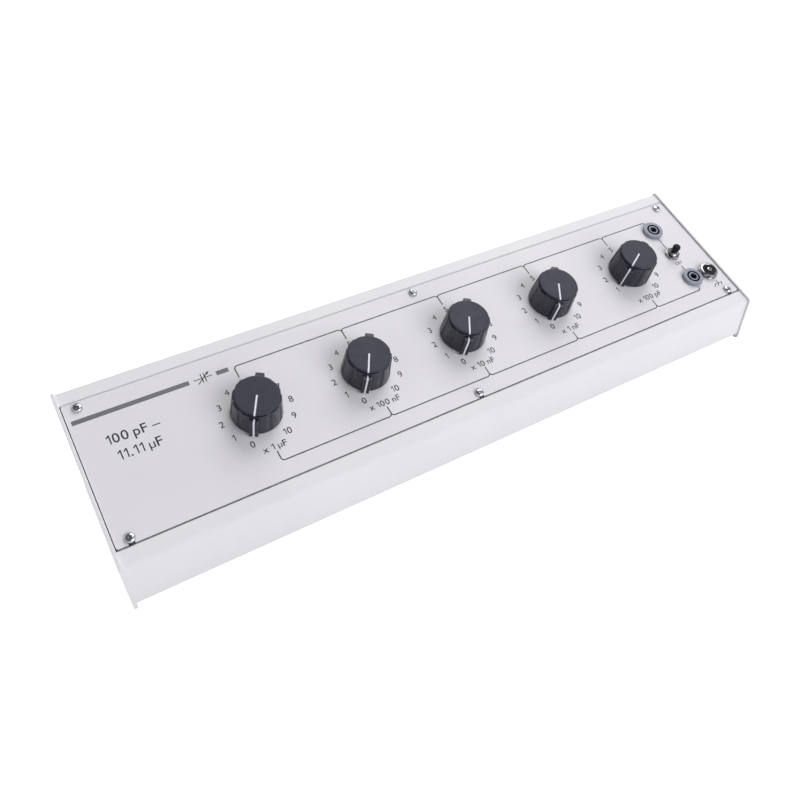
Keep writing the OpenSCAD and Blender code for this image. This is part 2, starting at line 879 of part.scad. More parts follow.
module toggle_case() {
    wall = 1.2;
    top = under - toggle_frame_t;
    cavity_h = top + tail_reach + clear;
    color("firebrick")
        on_panel(socket_x)
            difference() {
                translate([-toggle_case_w / 2, -toggle_case_d / 2, top - toggle_case_h])
                    cube([toggle_case_w, toggle_case_d, toggle_case_h]);
                translate([-toggle_case_w / 2 + wall, -toggle_case_d / 2 + wall, top - cavity_h])
                    cube([toggle_case_w - 2 * wall, toggle_case_d - 2 * wall, cavity_h + 1]);
            }
}

module toggle_lugs() {
    low = under - toggle_frame_t - toggle_case_h;
    lug_l = 4;
    lug_w = 2;
    lug_t = 0.8;
    color("silver")
        for (k = [-1, 0, 1])
            on_panel(socket_x, k * toggle_case_d / 3, low - lug_l)
                translate([-lug_w / 2, -lug_t / 2, 0])
                    cube([lug_w, lug_t, lug_l]);
}

module toggle_nut()
    color("silver")
        on_panel(socket_x)
            nut(toggle_nut_af, toggle_nut_t, toggle_bush_r + fit);

module toggle_lever()
    color("silver")
        on_panel(socket_x, 0, ball_h) {
            sphere(ball_r);
            cylinder(h = sleeve_end - ball_h - sleeve_r, r = lever_r);
            translate([0, 0, -tail_reach - ball_h])
                cylinder(h = tail_reach + ball_h, r = 0.7 * lever_r);
        }

module toggle_sleeve() {
    round_r = 0.45 * sleeve_r;
    root_r = 0.9 * sleeve_r;
    straight_h = sleeve_end - round_r - sleeve_start;
    color([0.12, 0.12, 0.13])
        on_panel(socket_x)
            difference() {
                union() {
                    translate([0, 0, sleeve_start])
                        cylinder(h = straight_h, r1 = root_r, r2 = sleeve_r);
                    translate([0, 0, sleeve_end - round_r])
                        rotate_extrude()
                            union() {
                                square([sleeve_r - round_r, round_r]);
                                translate([sleeve_r - round_r, 0])
                                    intersection() {
                                        circle(round_r);
                                        square(round_r);
                                    }
                            }
                }
                translate([0, 0, sleeve_start - 1])
                    cylinder(h = sleeve_end - sleeve_r - sleeve_start + 1 + fit, r = lever_r + fit);
            }
}

module earth_ring() {
    inner_r = earth_insert_r + fit;
    notch_wall = 0.8;
    color("silver")
        on_panel(earth_x, earth_y)
            difference() {
                rotate_extrude()
                    polygon([[inner_r, 0], [earth_flange_r, 0], [earth_flange_r, earth_flange_t],
                             [earth_ring_r, earth_flange_t], [earth_ring_r, earth_ring_h - earth_bevel],
                             [earth_ring_r - earth_bevel, earth_ring_h], [inner_r, earth_ring_h]]);
                for (a = [45, 225])
                    rotate(a)
                        translate([inner_r + notch_wall, -earth_notch_w / 2, earth_flange_t])
                            cube([earth_ring_r, earth_notch_w, earth_ring_h]);
            }
}

module earth_insert()
    color([0.1, 0.1, 0.11])
        on_panel(earth_x, earth_y)
            difference() {
                union() {
                    cylinder(h = earth_ring_h - earth_bevel / 2, r = earth_insert_r);
                    translate([0, 0, under - 2 * earth_nut_t])
                        cylinder(h = 2 * earth_nut_t - under, r = earth_stem_r);
                }
                translate([0, 0, under - 2 * earth_nut_t - 1])
                    cylinder(h = 2 * earth_nut_t - under + earth_ring_h + 2, r = earth_pin_r + fit);
            }

module earth_pin() {
    low = under - 4 * earth_nut_t;
    bevel = 0.3 * earth_pin_r;
    top = earth_ring_h + bevel;
    color("silver")
        on_panel(earth_x, earth_y)
            difference() {
                rotate_extrude()
                    polygon([[0, low], [earth_pin_r, low], [earth_pin_r, top - bevel],
                             [earth_pin_r - bevel, top], [0, top]]);
                cylinder(h = earth_ring_h + 1, r = earth_hole_r);
            }
}

module earth_nut()
    color("silver")
        on_panel(earth_x, earth_y, under)
            mirror([0, 0, 1])
                nut(earth_nut_af, earth_nut_t, earth_stem_r + fit);

// Places of the board's standoffs, at a height
module at_standoffs(z)
    for (x = board_xs, y = board_ys)
        translate([x, y, z])
            children();

module capacitor_board()
    color("darkgreen")
        difference() {
            translate([-board_l / 2, board_y - board_w / 2, board_z])
                cube([board_l, board_w, board_t]);
            at_standoffs(board_z - 1)
                cylinder(h = board_t + 2, r = screw_r + fit);
        }

module board_standoffs()
    color("silver")
        difference() {
            at_standoffs(floor_z)
                cylinder(h = standoff_h, r = standoff_r);
            at_standoffs(floor_z - 1)
                cylinder(h = standoff_h + 2, r = screw_r + fit);
        }

module board_screws()
    color("silver")
        at_standoffs(board_z + board_t)
            pan_screw(board_t + standoff_h);

module capacitors() {
    middle = (caps_per_decade - 1) / 2;
    color("steelblue")
        for (i = [0:decades - 1])
            let (k = pow(box_ratio, i), step = k * box_w + box_gap)
                for (n = [0:caps_per_decade - 1])
                    translate([dial_x(i) + (n - middle) * step, board_y, board_z + board_t])
                        translate([-k * box_w / 2, -k * box_l / 2, 0])
                            cube(k * [box_w, box_l, box_h]);
}

front_wall();
rear_wall();
base_plate();
end_plate(-1);  // end_plate_left
end_plate(1);  // end_plate_right
end_blocks();
end_plate_screws();
front_rail();
rear_rail();
panel();
panel_screws();
base_screws();
feet();
capacitor_board();
board_standoffs();
board_screws();
capacitors();
bus_wires();
socket_housing(socket_y);  // socket_rear
socket_housing(-socket_y);  // socket_front
socket_contact(socket_y);  // socket_contact_rear
socket_contact(-socket_y);  // socket_contact_front
socket_nuts();
toggle_bush();
toggle_case();
toggle_lugs();
toggle_nut();
toggle_lever();
toggle_sleeve();
earth_ring();
earth_insert();
earth_pin();
earth_nut();
switch_nuts();
switch_wafers();
for (i = [0:decades - 1]) {
    knob(i);
    knob_cap(i);
    pointer_mark(i);
    switch_shaft(i);
    switch_bush(i);
}
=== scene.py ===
"""Looks of a capacitance decade box: a sloping bench console with five rotary decades."""

import json
import logging
import math
from dataclasses import dataclass
from enum import Enum
from typing import Any, Callable, Sequence

import bmesh
import bpy
from mathutils import Matrix, Vector


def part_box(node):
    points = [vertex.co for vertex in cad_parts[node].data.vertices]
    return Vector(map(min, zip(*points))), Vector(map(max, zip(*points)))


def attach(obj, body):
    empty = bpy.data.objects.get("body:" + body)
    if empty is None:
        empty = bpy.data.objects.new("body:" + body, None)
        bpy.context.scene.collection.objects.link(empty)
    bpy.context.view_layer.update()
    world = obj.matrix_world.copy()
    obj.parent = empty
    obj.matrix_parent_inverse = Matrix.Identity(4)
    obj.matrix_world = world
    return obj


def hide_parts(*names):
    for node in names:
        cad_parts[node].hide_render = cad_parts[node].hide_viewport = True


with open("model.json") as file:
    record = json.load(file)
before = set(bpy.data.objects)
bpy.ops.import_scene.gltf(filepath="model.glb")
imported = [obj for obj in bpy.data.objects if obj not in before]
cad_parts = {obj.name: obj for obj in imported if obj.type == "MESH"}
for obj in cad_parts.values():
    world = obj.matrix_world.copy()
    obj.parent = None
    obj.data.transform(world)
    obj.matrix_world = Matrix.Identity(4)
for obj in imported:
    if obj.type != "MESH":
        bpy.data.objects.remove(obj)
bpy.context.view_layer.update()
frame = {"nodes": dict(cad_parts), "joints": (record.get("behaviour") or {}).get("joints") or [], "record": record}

MM = 0.001
LOG = logging.getLogger("decade_box")
# Attribute that keeps a point's place on the bench.
MADE_AT = "made_at"
# Points closer than this, in millimetres, are one point.
WELD = 0.01
# Height of the type's capitals as a share of its size.
CAPITALS = 0.691
# Angle between two numbers of a dial, in degrees.
DIAL_STEP = 30
# Sockets of a colour mix, whose names other kinds of mix share.
MIX_FACTOR, MIX_A, MIX_B, MIX_RESULT = 0, 6, 7, 2
# Range of a noise texture's values that counts.
NOISE_LOW, NOISE_HIGH = 0.3, 0.7
# Patches of gloss for each patch of colour.
GLOSS_PATCHES = 1.7
BUMP_STRENGTH = 0.6
# How far the tools of holes reach below and above a sheet's face, in millimetres.
TOOL_LOW, TOOL_HIGH = -3, 1
# Sockets of a map range node.
RAMP = ("From_Min", "From_Max", "To_Min", "To_Max")
Piece = bpy.types.Object
Profile = Sequence[tuple[float, float]]
PairTest = Callable[[Vector, Vector], bool]


class Body(Enum):
    """Bodies of the frame that pieces ride on."""

    CASE = "case"
    DIAL_1 = "dial_1"
    DIAL_2 = "dial_2"
    DIAL_3 = "dial_3"
    DIAL_4 = "dial_4"
    DIAL_5 = "dial_5"
    LEVER = "discharge_lever"


class Slot(Enum):
    """Material slots of the record."""

    CASE = "case_lacquer"
    PANEL = "panel_lacquer"
    ZINC = "zinc"
    TINNED = "tinned_copper"
    RUBBER = "rubber"
    BOARD = "board"
    PHENOLIC = "phenolic"
    CAPACITOR = "capacitor"
    SOCKET = "socket_grey"
    CONTACT = "contact"
    CHROME = "chrome"
    TOGGLE_CASE = "toggle_case"
    BLACK = "black_plastic"
    KNOB = "knob"
    KNOB_CAP = "knob_cap"
    MARK = "mark"


DIALS = (Body.DIAL_1, Body.DIAL_2, Body.DIAL_3, Body.DIAL_4, Body.DIAL_5)


def linear(red: int, green: int, blue: int) -> tuple[float, float, float, float]:
    """Turn a display colour into a linear one.

    Args:
        red: Red from 0 to 255.
        green: Green from 0 to 255.
        blue: Blue from 0 to 255.

    Returns:
        The linear colour with an alpha of 1.
    """
    def one(value: int) -> float:
        """Linear value of one channel."""
        v = value / 255
        return v / 12.92 if v <= 0.04045 else ((v + 0.055) / 1.055) ** 2.4

    return one(red), one(green), one(blue), 1.0


class Graph:
    """A node tree that is filled by name."""

    def __init__(self, tree: bpy.types.NodeTree) -> None:
        """Keep the tree that nodes go into."""
        self.tree = tree

    def add(self, kind: str, **values: Any) -> bpy.types.Node:
        """Add a node.

        Args:
            kind: Node type.
            **values: Input values by socket name, with spaces as underscores, or node properties.

        Returns:
            The new node.
        """
        node = self.tree.nodes.new(kind)
        for key, value in values.items():
            name = key.replace("_", " ")
            if name in node.inputs:
                node.inputs[name].default_value = value
            else:
                setattr(node, key, value)
        return node

    def link(self, source: bpy.types.NodeSocket, target: bpy.types.NodeSocket) -> None:
        """Join two sockets."""
        self.tree.links.new(source, target)

    def calc(self, operation: str, first: bpy.types.NodeSocket,
             second: bpy.types.NodeSocket | float) -> bpy.types.NodeSocket:
        """Add a calculation with two values.

        Args:
            operation: Kind of calculation.
            first: Where the first value comes from.
            second: Where the second value comes from, or the value itself.

        Returns:
            The result.
        """
        node = self.add("ShaderNodeMath", operation=operation)
        self.link(first, node.inputs[0])
        if isinstance(second, bpy.types.NodeSocket):
            self.link(second, node.inputs[1])
        else:
            node.inputs[1].default_value = second
        return node.outputs["Value"]


class Effect(Enum):
    """Surface effects that materials share as node groups."""

    TINT = "uneven_tint"
    GLOSS = "uneven_gloss"
    GRAIN = "fine_grain"
    BRUSH = "drawn_marks"
    RINGS = "turning_marks"

    def group(self) -> bpy.types.NodeTree:
        """Give this effect's node group, and build it at its first use.

        Returns:
            The node group.
        """
        made = bpy.data.node_groups.get(self.value)
        if made:
            return made
        tree = bpy.data.node_groups.new(self.value, "ShaderNodeTree")
        build, extras, result = {
            Effect.TINT: (self._tint, {"Light": "Color", "Dark": "Color"}, {"Color": "Color"}),
            Effect.GLOSS: (self._gloss, {"Low": "Float", "High": "Float"}, {"Roughness": "Float"}),
            Effect.GRAIN: (self._grain, {}, {"Height": "Float"}),
            Effect.BRUSH: (self._brush, {}, {"Height": "Float"}),
            Effect.RINGS: (self._rings, {}, {"Height": "Float"}),
        }[self]
        ways = {"INPUT": {"Vector": "Vector", "Scale": "Float", **extras}, "OUTPUT": result}
        for way, sockets in ways.items():
            for name, kind in sockets.items():
                tree.interface.new_socket(name=name, in_out=way, socket_type=f"NodeSocket{kind}")
        g = Graph(tree)
        start, end = g.add("NodeGroupInput"), g.add("NodeGroupOutput")
        g.link(build(g, start), end.inputs[0])
        return tree

    @staticmethod
    def _texture(g: Graph, start: bpy.types.Node, kind: str, **values: Any) -> bpy.types.Node:
        """Add a texture that follows the group's own place and scale.

        Args:
            g: The group's nodes.
            start: The group's inputs.
            kind: Node type.
            **values: Values of the texture.

        Returns:
            The texture.
        """
        texture = g.add(kind, **values)
        for name in ("Vector", "Scale"):
            g.link(start.outputs[name], texture.inputs[name])
        return texture

    @classmethod
    def _tint(cls, g: Graph, start: bpy.types.Node) -> bpy.types.NodeSocket:
        """Mix two close colours by soft patches.

        Args:
            g: The group's nodes.
            start: The group's inputs.

        Returns:
            The colour.
        """
        noise = cls._texture(g, start, "ShaderNodeTexNoise", Detail=5.0, Roughness=0.6)
        curve = g.add("ShaderNodeMapRange", From_Min=NOISE_LOW, From_Max=NOISE_HIGH)
        mix = g.add("ShaderNodeMix", data_type="RGBA")
        g.link(noise.outputs["Fac"], curve.inputs["Value"])
        g.link(curve.outputs["Result"], mix.inputs[MIX_FACTOR])
        g.link(start.outputs["Light"], mix.inputs[MIX_A])
        g.link(start.outputs["Dark"], mix.inputs[MIX_B])
        return mix.outputs[MIX_RESULT]

    @classmethod
    def _gloss(cls, g: Graph, start: bpy.types.Node) -> bpy.types.NodeSocket:
        """Vary roughness between two values, as on handled surfaces.

        Args:
            g: The group's nodes.
            start: The group's inputs.

        Returns:
            The roughness.
        """
        noise = cls._texture(g, start, "ShaderNodeTexNoise", Detail=3.0, Roughness=0.55, Distortion=0.6)
        curve = g.add("ShaderNodeMapRange", From_Min=NOISE_LOW, From_Max=NOISE_HIGH)
        g.link(noise.outputs["Fac"], curve.inputs["Value"])
        g.link(start.outputs["Low"], curve.inputs["To Min"])
        g.link(start.outputs["High"], curve.inputs["To Max"])
        return curve.outputs["Result"]

    @classmethod
    def _grain(cls, g: Graph, start: bpy.types.Node) -> bpy.types.NodeSocket:
        """Pebble a skin finely.

        Args:
            g: The group's nodes.
            start: The group's inputs.

        Returns:
            The height.
        """
        noise = cls._texture(g, start, "ShaderNodeTexNoise", Detail=2.0, Roughness=0.5)
        cells = cls._texture(g, start, "ShaderNodeTexVoronoi", feature="SMOOTH_F1", Smoothness=0.7)
        return g.calc("ADD", noise.outputs["Fac"], cells.outputs["Distance"])

    @classmethod
    def _brush(cls, g: Graph, start: bpy.types.Node) -> bpy.types.NodeSocket:
        """Draw fine marks along the box, as drawn metal has.

        Args:
            g: The group's nodes.
            start: The group's inputs.

        Returns:
            The height.
        """
        noise = cls._texture(g, start, "ShaderNodeTexNoise", Detail=3.0, Roughness=0.6)
        stretch = g.add("ShaderNodeMapping", Scale=(0.06, 1.0, 1.0))
        g.link(start.outputs["Vector"], stretch.inputs["Vector"])
        g.link(stretch.outputs["Vector"], noise.inputs["Vector"])
        return noise.outputs["Fac"]

    @staticmethod
    def _rings(g: Graph, start: bpy.types.Node) -> bpy.types.NodeSocket:
        """Draw fine rings around a turned piece's own axis.

        Args:
            g: The group's nodes.
            start: The group's inputs.

        Returns:
            The height.
        """
        flat = g.add("ShaderNodeVectorMath", operation="MULTIPLY")
        flat.inputs[1].default_value = (1, 1, 0)
        reach = g.add("ShaderNodeVectorMath", operation="LENGTH")
        noise = g.add("ShaderNodeTexNoise", noise_dimensions="1D", Detail=2.0, Roughness=0.5)
        g.link(start.outputs["Vector"], flat.inputs[0])
        g.link(flat.outputs["Vector"], reach.inputs[0])
        g.link(reach.outputs["Value"], noise.inputs["W"])
        g.link(start.outputs["Scale"], noise.inputs["Scale"])
        return noise.outputs["Fac"]


@dataclass(frozen=True)
class Finish:
    """A surface finish: two close colours, a range of gloss and a fine relief.

    Attributes:
        name: Name of the material.
        light: Lighter display colour.
        dark: Darker display colour.
        gloss: Lowest and highest roughness.
        relief: Depth of the relief in millimetres.
        relief_scale: Relief features in a metre.
        patch_scale: Patches of colour and gloss in a metre.
        metallic: 1 for bare metal.
        effect: Which relief the finish has.
        specular: Level of the mirror-like part.
    """

    name: str
    light: tuple[int, int, int]
    dark: tuple[int, int, int]
    gloss: tuple[float, float] = (0.35, 0.5)
    relief: float = 0.01
    relief_scale: float = 2500.0
    patch_scale: float = 40.0
    metallic: float = 0.0
    effect: Effect = Effect.GRAIN
    specular: float = 0.5

    def material(self) -> bpy.types.Material:
        """Give this finish's material, and build it at its first use.

        Returns:
            The material.
        """
        name = f"finish_{self.name}"
        made = bpy.data.materials.get(name)
        if made:
            return made
        material = bpy.data.materials.new(name)
        material.use_nodes = True
        material.node_tree.nodes.clear()
        g = Graph(material.node_tree)
        out = g.add("ShaderNodeOutputMaterial")
        skin = g.add("ShaderNodeBsdfPrincipled", Metallic=self.metallic, Specular_IOR_Level=self.specular)
        place = g.add("ShaderNodeTexCoord")
        tint = g.add("ShaderNodeGroup", node_tree=Effect.TINT.group(), Scale=self.patch_scale,
                     Light=linear(*self.light), Dark=linear(*self.dark))
        gloss = g.add("ShaderNodeGroup", node_tree=Effect.GLOSS.group(),
                      Scale=GLOSS_PATCHES * self.patch_scale, Low=self.gloss[0], High=self.gloss[1])
        relief = g.add("ShaderNodeGroup", node_tree=self.effect.group(), Scale=self.relief_scale)
        bump = g.add("ShaderNodeBump", Strength=BUMP_STRENGTH, Distance=self.relief * MM)
        for group in (tint, gloss):
            g.link(place.outputs["Object"], group.inputs["Vector"])
        g.link(self._relief_place(g, place), relief.inputs["Vector"])
        g.link(tint.outputs["Color"], skin.inputs["Base Color"])
        g.link(gloss.outputs["Roughness"], skin.inputs["Roughness"])
        g.link(relief.outputs["Height"], bump.inputs["Height"])
        g.link(bump.outputs["Normal"], skin.inputs["Normal"])
        g.link(skin.outputs["BSDF"], out.inputs["Surface"])
        return material

    def _relief_place(self, g: Graph, place: bpy.types.Node) -> bpy.types.NodeSocket:
        """Give the coordinates that the relief follows.

        Args:
            g: The material's node tree.
            place: Its texture coordinates.

        Returns:
            The place on the bench for turning marks, and the place on the object otherwise.
        """
        if self.effect is not Effect.RINGS:
            return place.outputs["Object"]
        return g.add("ShaderNodeAttribute", attribute_name=MADE_AT).outputs["Vector"]


CASE_LACQUER = Finish("case_lacquer", (229, 228, 231), (225, 224, 228), (0.5, 0.62), 0.02, 1800.0, 14.0,
                      specular=0.3)
PANEL_LACQUER = Finish("panel_lacquer", (226, 224, 228), (222, 220, 225), (0.46, 0.56), 0.012, 2600.0, 14.0,
                       specular=0.3)
# Painted shade: the panel's edge faces get this darker grey so that the gap around the panel reads as a shadow
# line.
PAINTED_GAP_SHADE = Finish("cut_edge", (168, 168, 172), (150, 150, 154), (0.45, 0.6), 0.01, 2600.0, 90.0, specular=0.3)
PRINT_INK = Finish("print_ink", (48, 48, 54), (41, 41, 47), (0.45, 0.6), 0.004, 4000.0, 200.0)
BAR_INK = Finish("bar_ink", (112, 112, 117), (105, 105, 110), (0.45, 0.6), 0.004, 4000.0, 200.0)
KNOB_SKIN = Finish("knob_skin", (36, 38, 52), (30, 32, 45), (0.24, 0.35), 0.02, 3200.0, 120.0)
CAP_SKIN = Finish("cap_skin", (52, 53, 68), (46, 47, 62), (0.46, 0.58), 0.014, 4200.0, 120.0, specular=0.31)
WHITE_FILL = Finish("white_fill", (228, 230, 238), (216, 218, 228), (0.4, 0.55), 0.01, 3000.0, 300.0)
# Painted shade: the darker grey inside the sockets' slots and bores stands for the shade in those hollows.
SOCKET_SLOT_SHADE = Finish("socket_inside", (58, 62, 78), (48, 52, 68), (0.4, 0.55), 0.012, 3600.0, 160.0,
                       specular=0.3)
SOCKET_SKIN = Finish("socket_skin", (144, 149, 164), (134, 139, 155), (0.34, 0.46), 0.012, 3600.0, 160.0)
BLACK_SKIN = Finish("black_skin", (20, 20, 22), (15, 15, 17), (0.3, 0.42), 0.01, 3600.0, 160.0, specular=0.15)
ZINC = Finish("zinc", (205, 207, 212), (176, 178, 184), (0.2, 0.36), 0.006, 2200.0, 260.0, 1.0, Effect.BRUSH)
SCREW_ZINC = Finish("screw_zinc", (208, 210, 216), (172, 175, 182), (0.16, 0.3), 0.008, 5200.0, 260.0, 1.0,
                    Effect.RINGS)
NICKEL = Finish("nickel", (172, 172, 175), (150, 150, 153), (0.06, 0.14), 0.003, 2400.0, 260.0, 1.0,
                Effect.BRUSH)
TURNED_NICKEL = Finish("turned_nickel", (172, 172, 175), (150, 150, 153), (0.06, 0.14), 0.006, 6000.0, 260.0,
                       1.0, Effect.RINGS)
DULL_NICKEL = Finish("dull_nickel", (150, 147, 142), (122, 119, 115), (0.3, 0.45), 0.006, 2400.0, 260.0, 1.0,
                     Effect.BRUSH)
TINNED = Finish("tinned", (200, 199, 196), (178, 177, 174), (0.28, 0.42), 0.006, 1800.0, 240.0, 1.0,
                Effect.BRUSH)
RUBBER = Finish("rubber", (46, 46, 47), (36, 36, 37), (0.7, 0.85), 0.03, 1600.0, 120.0)
BOARD = Finish("board", (46, 112, 72), (34, 96, 58), (0.3, 0.45), 0.02, 900.0, 60.0)
PHENOLIC = Finish("phenolic", (150, 104, 62), (124, 82, 46), (0.45, 0.6), 0.02, 1200.0, 140.0)
CAPACITOR = Finish("capacitor", (82, 126, 178), (70, 112, 164), (0.25, 0.4), 0.01, 1600.0, 120.0)
TOGGLE_CASE = Finish("toggle_case", (150, 52, 44), (132, 40, 34), (0.35, 0.5), 0.012, 1800.0, 120.0)


class Bench:
    """Modelling as by hand, in millimetres: primitives, edit-mode operators and applied modifiers."""

    @staticmethod
    def begin() -> None:
        """Go to object mode with nothing selected."""
        if bpy.context.object and bpy.context.object.mode != "OBJECT":
            bpy.ops.object.mode_set(mode="OBJECT")
        bpy.ops.object.select_all(action="DESELECT")

    @classmethod
    def only(cls, obj: Piece) -> None:
        """Select one object and make it active."""
        cls.begin()
        obj.select_set(True)
        bpy.context.view_layer.objects.active = obj

    @classmethod
    def edit(cls, obj: Piece, kind: str = "FACE") -> None:
        """Open an object in edit mode with nothing selected.

        Args:
            obj: The object.
            kind: Whether vertices, edges or faces are selected.
        """
        cls.only(obj)
        bpy.ops.object.mode_set(mode="EDIT")
        bpy.ops.mesh.select_mode(type=kind)
        bpy.ops.mesh.select_all(action="DESELECT")

    @staticmethod
    def _pick(obj: Piece, parts: str, test: Callable[[Any], bool]) -> None:
        """Select parts of a mesh in edit mode.

        Args:
            obj: The object in edit mode.
            parts: verts, edges or faces.
            test: Says of a part if it is selected.
        """
        mesh = bmesh.from_edit_mesh(obj.data)
        for part in getattr(mesh, parts):
            part.select = test(part)
        mesh.select_flush_mode()
        bmesh.update_edit_mesh(obj.data)

    @classmethod
    def pick_faces(cls, obj: Piece, test: PairTest) -> None:
        """Select faces by their middles, in millimetres, and their normals."""
        cls._pick(obj, "faces", lambda face: test(face.calc_center_median() / MM, face.normal))

    @classmethod
    def pick_edges(cls, obj: Piece, test: PairTest) -> None:
        """Select edges by their two ends, in millimetres."""
        cls._pick(obj, "edges", lambda edge: test(edge.verts[0].co / MM, edge.verts[1].co / MM))

    @classmethod
    def pick_points(cls, obj: Piece, test: Callable[[Vector], bool]) -> None:
        """Select vertices by their places, in millimetres."""
        cls._pick(obj, "verts", lambda point: test(point.co / MM))

    @classmethod
    def turned(cls, name: str, profile: Profile, segments: int = 64, ring: bool = False) -> Piece:
        """Turn a piece from a disc that is extruded and resized along its profile.

        Args:
            name: Name of the piece.
            profile: Radius and height of each step, from the first face to the last.
            segments: Steps around the axis.
            ring: Join the first and the last circle, so that the piece has a through hole.

        Returns:
            The piece, on the origin's axis.
        """
        cls.begin()
        radius, height = profile[0]
        bpy.ops.mesh.primitive_circle_add(vertices=segments, radius=radius * MM, fill_type="NGON",
                                          location=(0, 0, height * MM))
        obj = bpy.context.object
        obj.name = name
        bpy.ops.object.transform_apply(location=True, rotation=True, scale=True)
        bpy.ops.object.mode_set(mode="EDIT")
        bpy.ops.mesh.select_mode(type="FACE")
        bpy.ops.mesh.select_all(action="SELECT")
        for next_radius, next_height in profile[1:]:
            step = (0, 0, (next_height - height) * MM)
            bpy.ops.mesh.extrude_region_move(TRANSFORM_OT_translate={"value": step})
            if next_radius != radius:
                k = next_radius / radius
                bpy.ops.transform.resize(value=(k, k, 1), center_override=(0, 0, next_height * MM))
            radius, height = next_radius, next_height
        if ring:
            cls._open_ring(obj)
        bpy.ops.mesh.select_all(action="SELECT")
        bpy.ops.mesh.normals_make_consistent(inside=False)
        cls.begin()
        return obj

    @classmethod
    def _open_ring(cls, obj: Piece) -> None:
        """Take out a turned piece's two end discs and bridge their rims.

        Args:
            obj: The piece in edit mode.
        """
        cls._pick(obj, "faces", lambda face: len(face.verts) > 4)
        bpy.ops.mesh.delete(type="ONLY_FACE")
        bpy.ops.mesh.select_mode(type="EDGE")
        cls._pick(obj, "edges", lambda edge: edge.is_boundary)
        bpy.ops.mesh.bridge_edge_loops()

    @classmethod
    def block(cls, name: str, low: Sequence[float], high: Sequence[float]) -> Piece:
        """Add a block between two corners.

        Args:
            name: Name of the piece.
            low: Lowest corner.
            high: Highest corner.

        Returns:
            The block.
        """
        cls.begin()
        middle = [(a + b) / 2 * MM for a, b in zip(low, high)]
        bpy.ops.mesh.primitive_cube_add(size=1, location=middle)
        obj = bpy.context.object
        obj.name = name
        obj.scale = [(b - a) * MM for a, b in zip(low, high)]
        bpy.ops.object.transform_apply(location=True, rotation=True, scale=True)
        return obj

    @classmethod
    def bevel(cls, obj: Piece, width: float, segments: int, test: PairTest) -> None:
        """Bevel edges in edit mode.

        Args:
            obj: The object.
            width: Distance of the bevel from an edge.
            segments: Steps across the bevel.
            test: Says from an edge's two ends if it is bevelled.
        """
        cls.edit(obj, "EDGE")
        cls.pick_edges(obj, test)
        bpy.ops.mesh.bevel(offset=width * MM, segments=segments, profile=0.5, affect="EDGES")
        cls.begin()

    @classmethod
    def modify(cls, obj: Piece, kind: str, **values: Any) -> None:
        """Add a modifier and apply it.

        Args:
            obj: The object.
            kind: Modifier type.
            **values: Its settings.
        """
        cls.only(obj)
        bpy.ops.object.modifier_add(type=kind)
        modifier = obj.modifiers[-1]
        for key, value in values.items():
            setattr(modifier, key, value)
        bpy.ops.object.modifier_apply(modifier=modifier.name)

    @classmethod
    def combine(cls, obj: Piece, tool: Piece, way: str) -> None:
        """Cut with, unite with or keep the overlap with a tool piece, which goes.

        Args:
            obj: The object.
            tool: The piece that shapes it.
            way: DIFFERENCE, UNION or INTERSECT.
        """
        cls.modify(obj, "BOOLEAN", operation=way, object=tool, solver="EXACT")
        bpy.data.objects.remove(tool)
        cls.weld(obj)

    @classmethod
    def weld(cls, obj: Piece) -> None:
        """Merge points that a cut left on top of each other, and take out the slivers between them.

        Args:
            obj: The object.
        """
        cls.edit(obj, "VERT")
        bpy.ops.mesh.select_all(action="SELECT")
        bpy.ops.mesh.remove_doubles(threshold=WELD * MM)
        bpy.ops.mesh.dissolve_degenerate(threshold=WELD * MM)
        cls.begin()

    @classmethod
    def join(cls, pieces: Sequence[Piece], name: str) -> Piece:
        """Make several objects one.

        Args:
            pieces: The objects.
            name: Name of the result.

        Returns:
            The joined object.
        """
        cls.begin()
        for piece in pieces:
            piece.select_set(True)
        bpy.context.view_layer.objects.active = pieces[0]
        if len(pieces) > 1:
            bpy.ops.object.join()
        pieces[0].name = name
        return pieces[0]

    @classmethod
    def copy(cls, obj: Piece, name: str) -> Piece:
        """Copy an object with a mesh of its own.

        Args:
            obj: The object.
            name: Name of the copy.

        Returns:
            The copy.
        """
        cls.only(obj)
        bpy.ops.object.duplicate(linked=False)
        bpy.context.object.name = name
        return bpy.context.object

    @classmethod
    def stand(cls, obj: Piece, place: Matrix) -> None:
        """Move an object's mesh to its place and leave the object at the origin.

        Args:
            obj: The object.
            place: Where it goes, in metres.
        """
        cls.only(obj)
        obj.matrix_world = place @ obj.matrix_world
        bpy.ops.object.transform_apply(location=True, rotation=True, scale=True)

    @classmethod
    def soften(cls, obj: Piece, width: float, segments: int = 2, degrees: float = 40.0) -> None:
        """Round every edge that is sharper than an angle.

        Args:
            obj: The object.
            width: Distance of the rounding from an edge.
            segments: Steps across the rounding.
            degrees: Angle between faces from which an edge counts as sharp.
        """
        cls.modify(obj, "BEVEL", width=width * MM, segments=segments, limit_method="ANGLE",
                   angle_limit=math.radians(degrees))

    @classmethod
    def polish(cls, obj: Piece, degrees: float = 35.0) -> None:
        """Shade a model smooth, and keep each point's place on the bench for turning marks.

        Args:
            obj: The model, still on the bench.
            degrees: Angle from which an edge stays sharp.
        """
        cls.weld(obj)
        cls.only(obj)
        bpy.ops.object.shade_smooth_by_angle(angle=math.radians(degrees))
        cls.modify(obj, "WEIGHTED_NORMAL", keep_sharp=True)
        kept = obj.data.attributes.new(MADE_AT, "FLOAT_VECTOR", "POINT")
        for point, value in zip(obj.data.vertices, kept.data):
            value.vector = point.co


def mount(obj: Piece, body: Body, finish: Finish, slot: Slot | None = None,
          stands_for: Sequence[str] = ()) -> None:
    """Give a finished piece its material and its body, and report it.

    Args:
        obj: The piece, in place.
        body: The body that it rides on.
        finish: Its finish.
        slot: The record's slot for that finish; not used.
        stands_for: CAD nodes that the piece replaces.
    """
    obj.data.materials.clear()
    obj.data.materials.append(finish.material())
    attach(obj, body.value)
    if stands_for:
        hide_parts(*stands_for)
    LOG.info("%s rides on %s", obj.name, body.value)


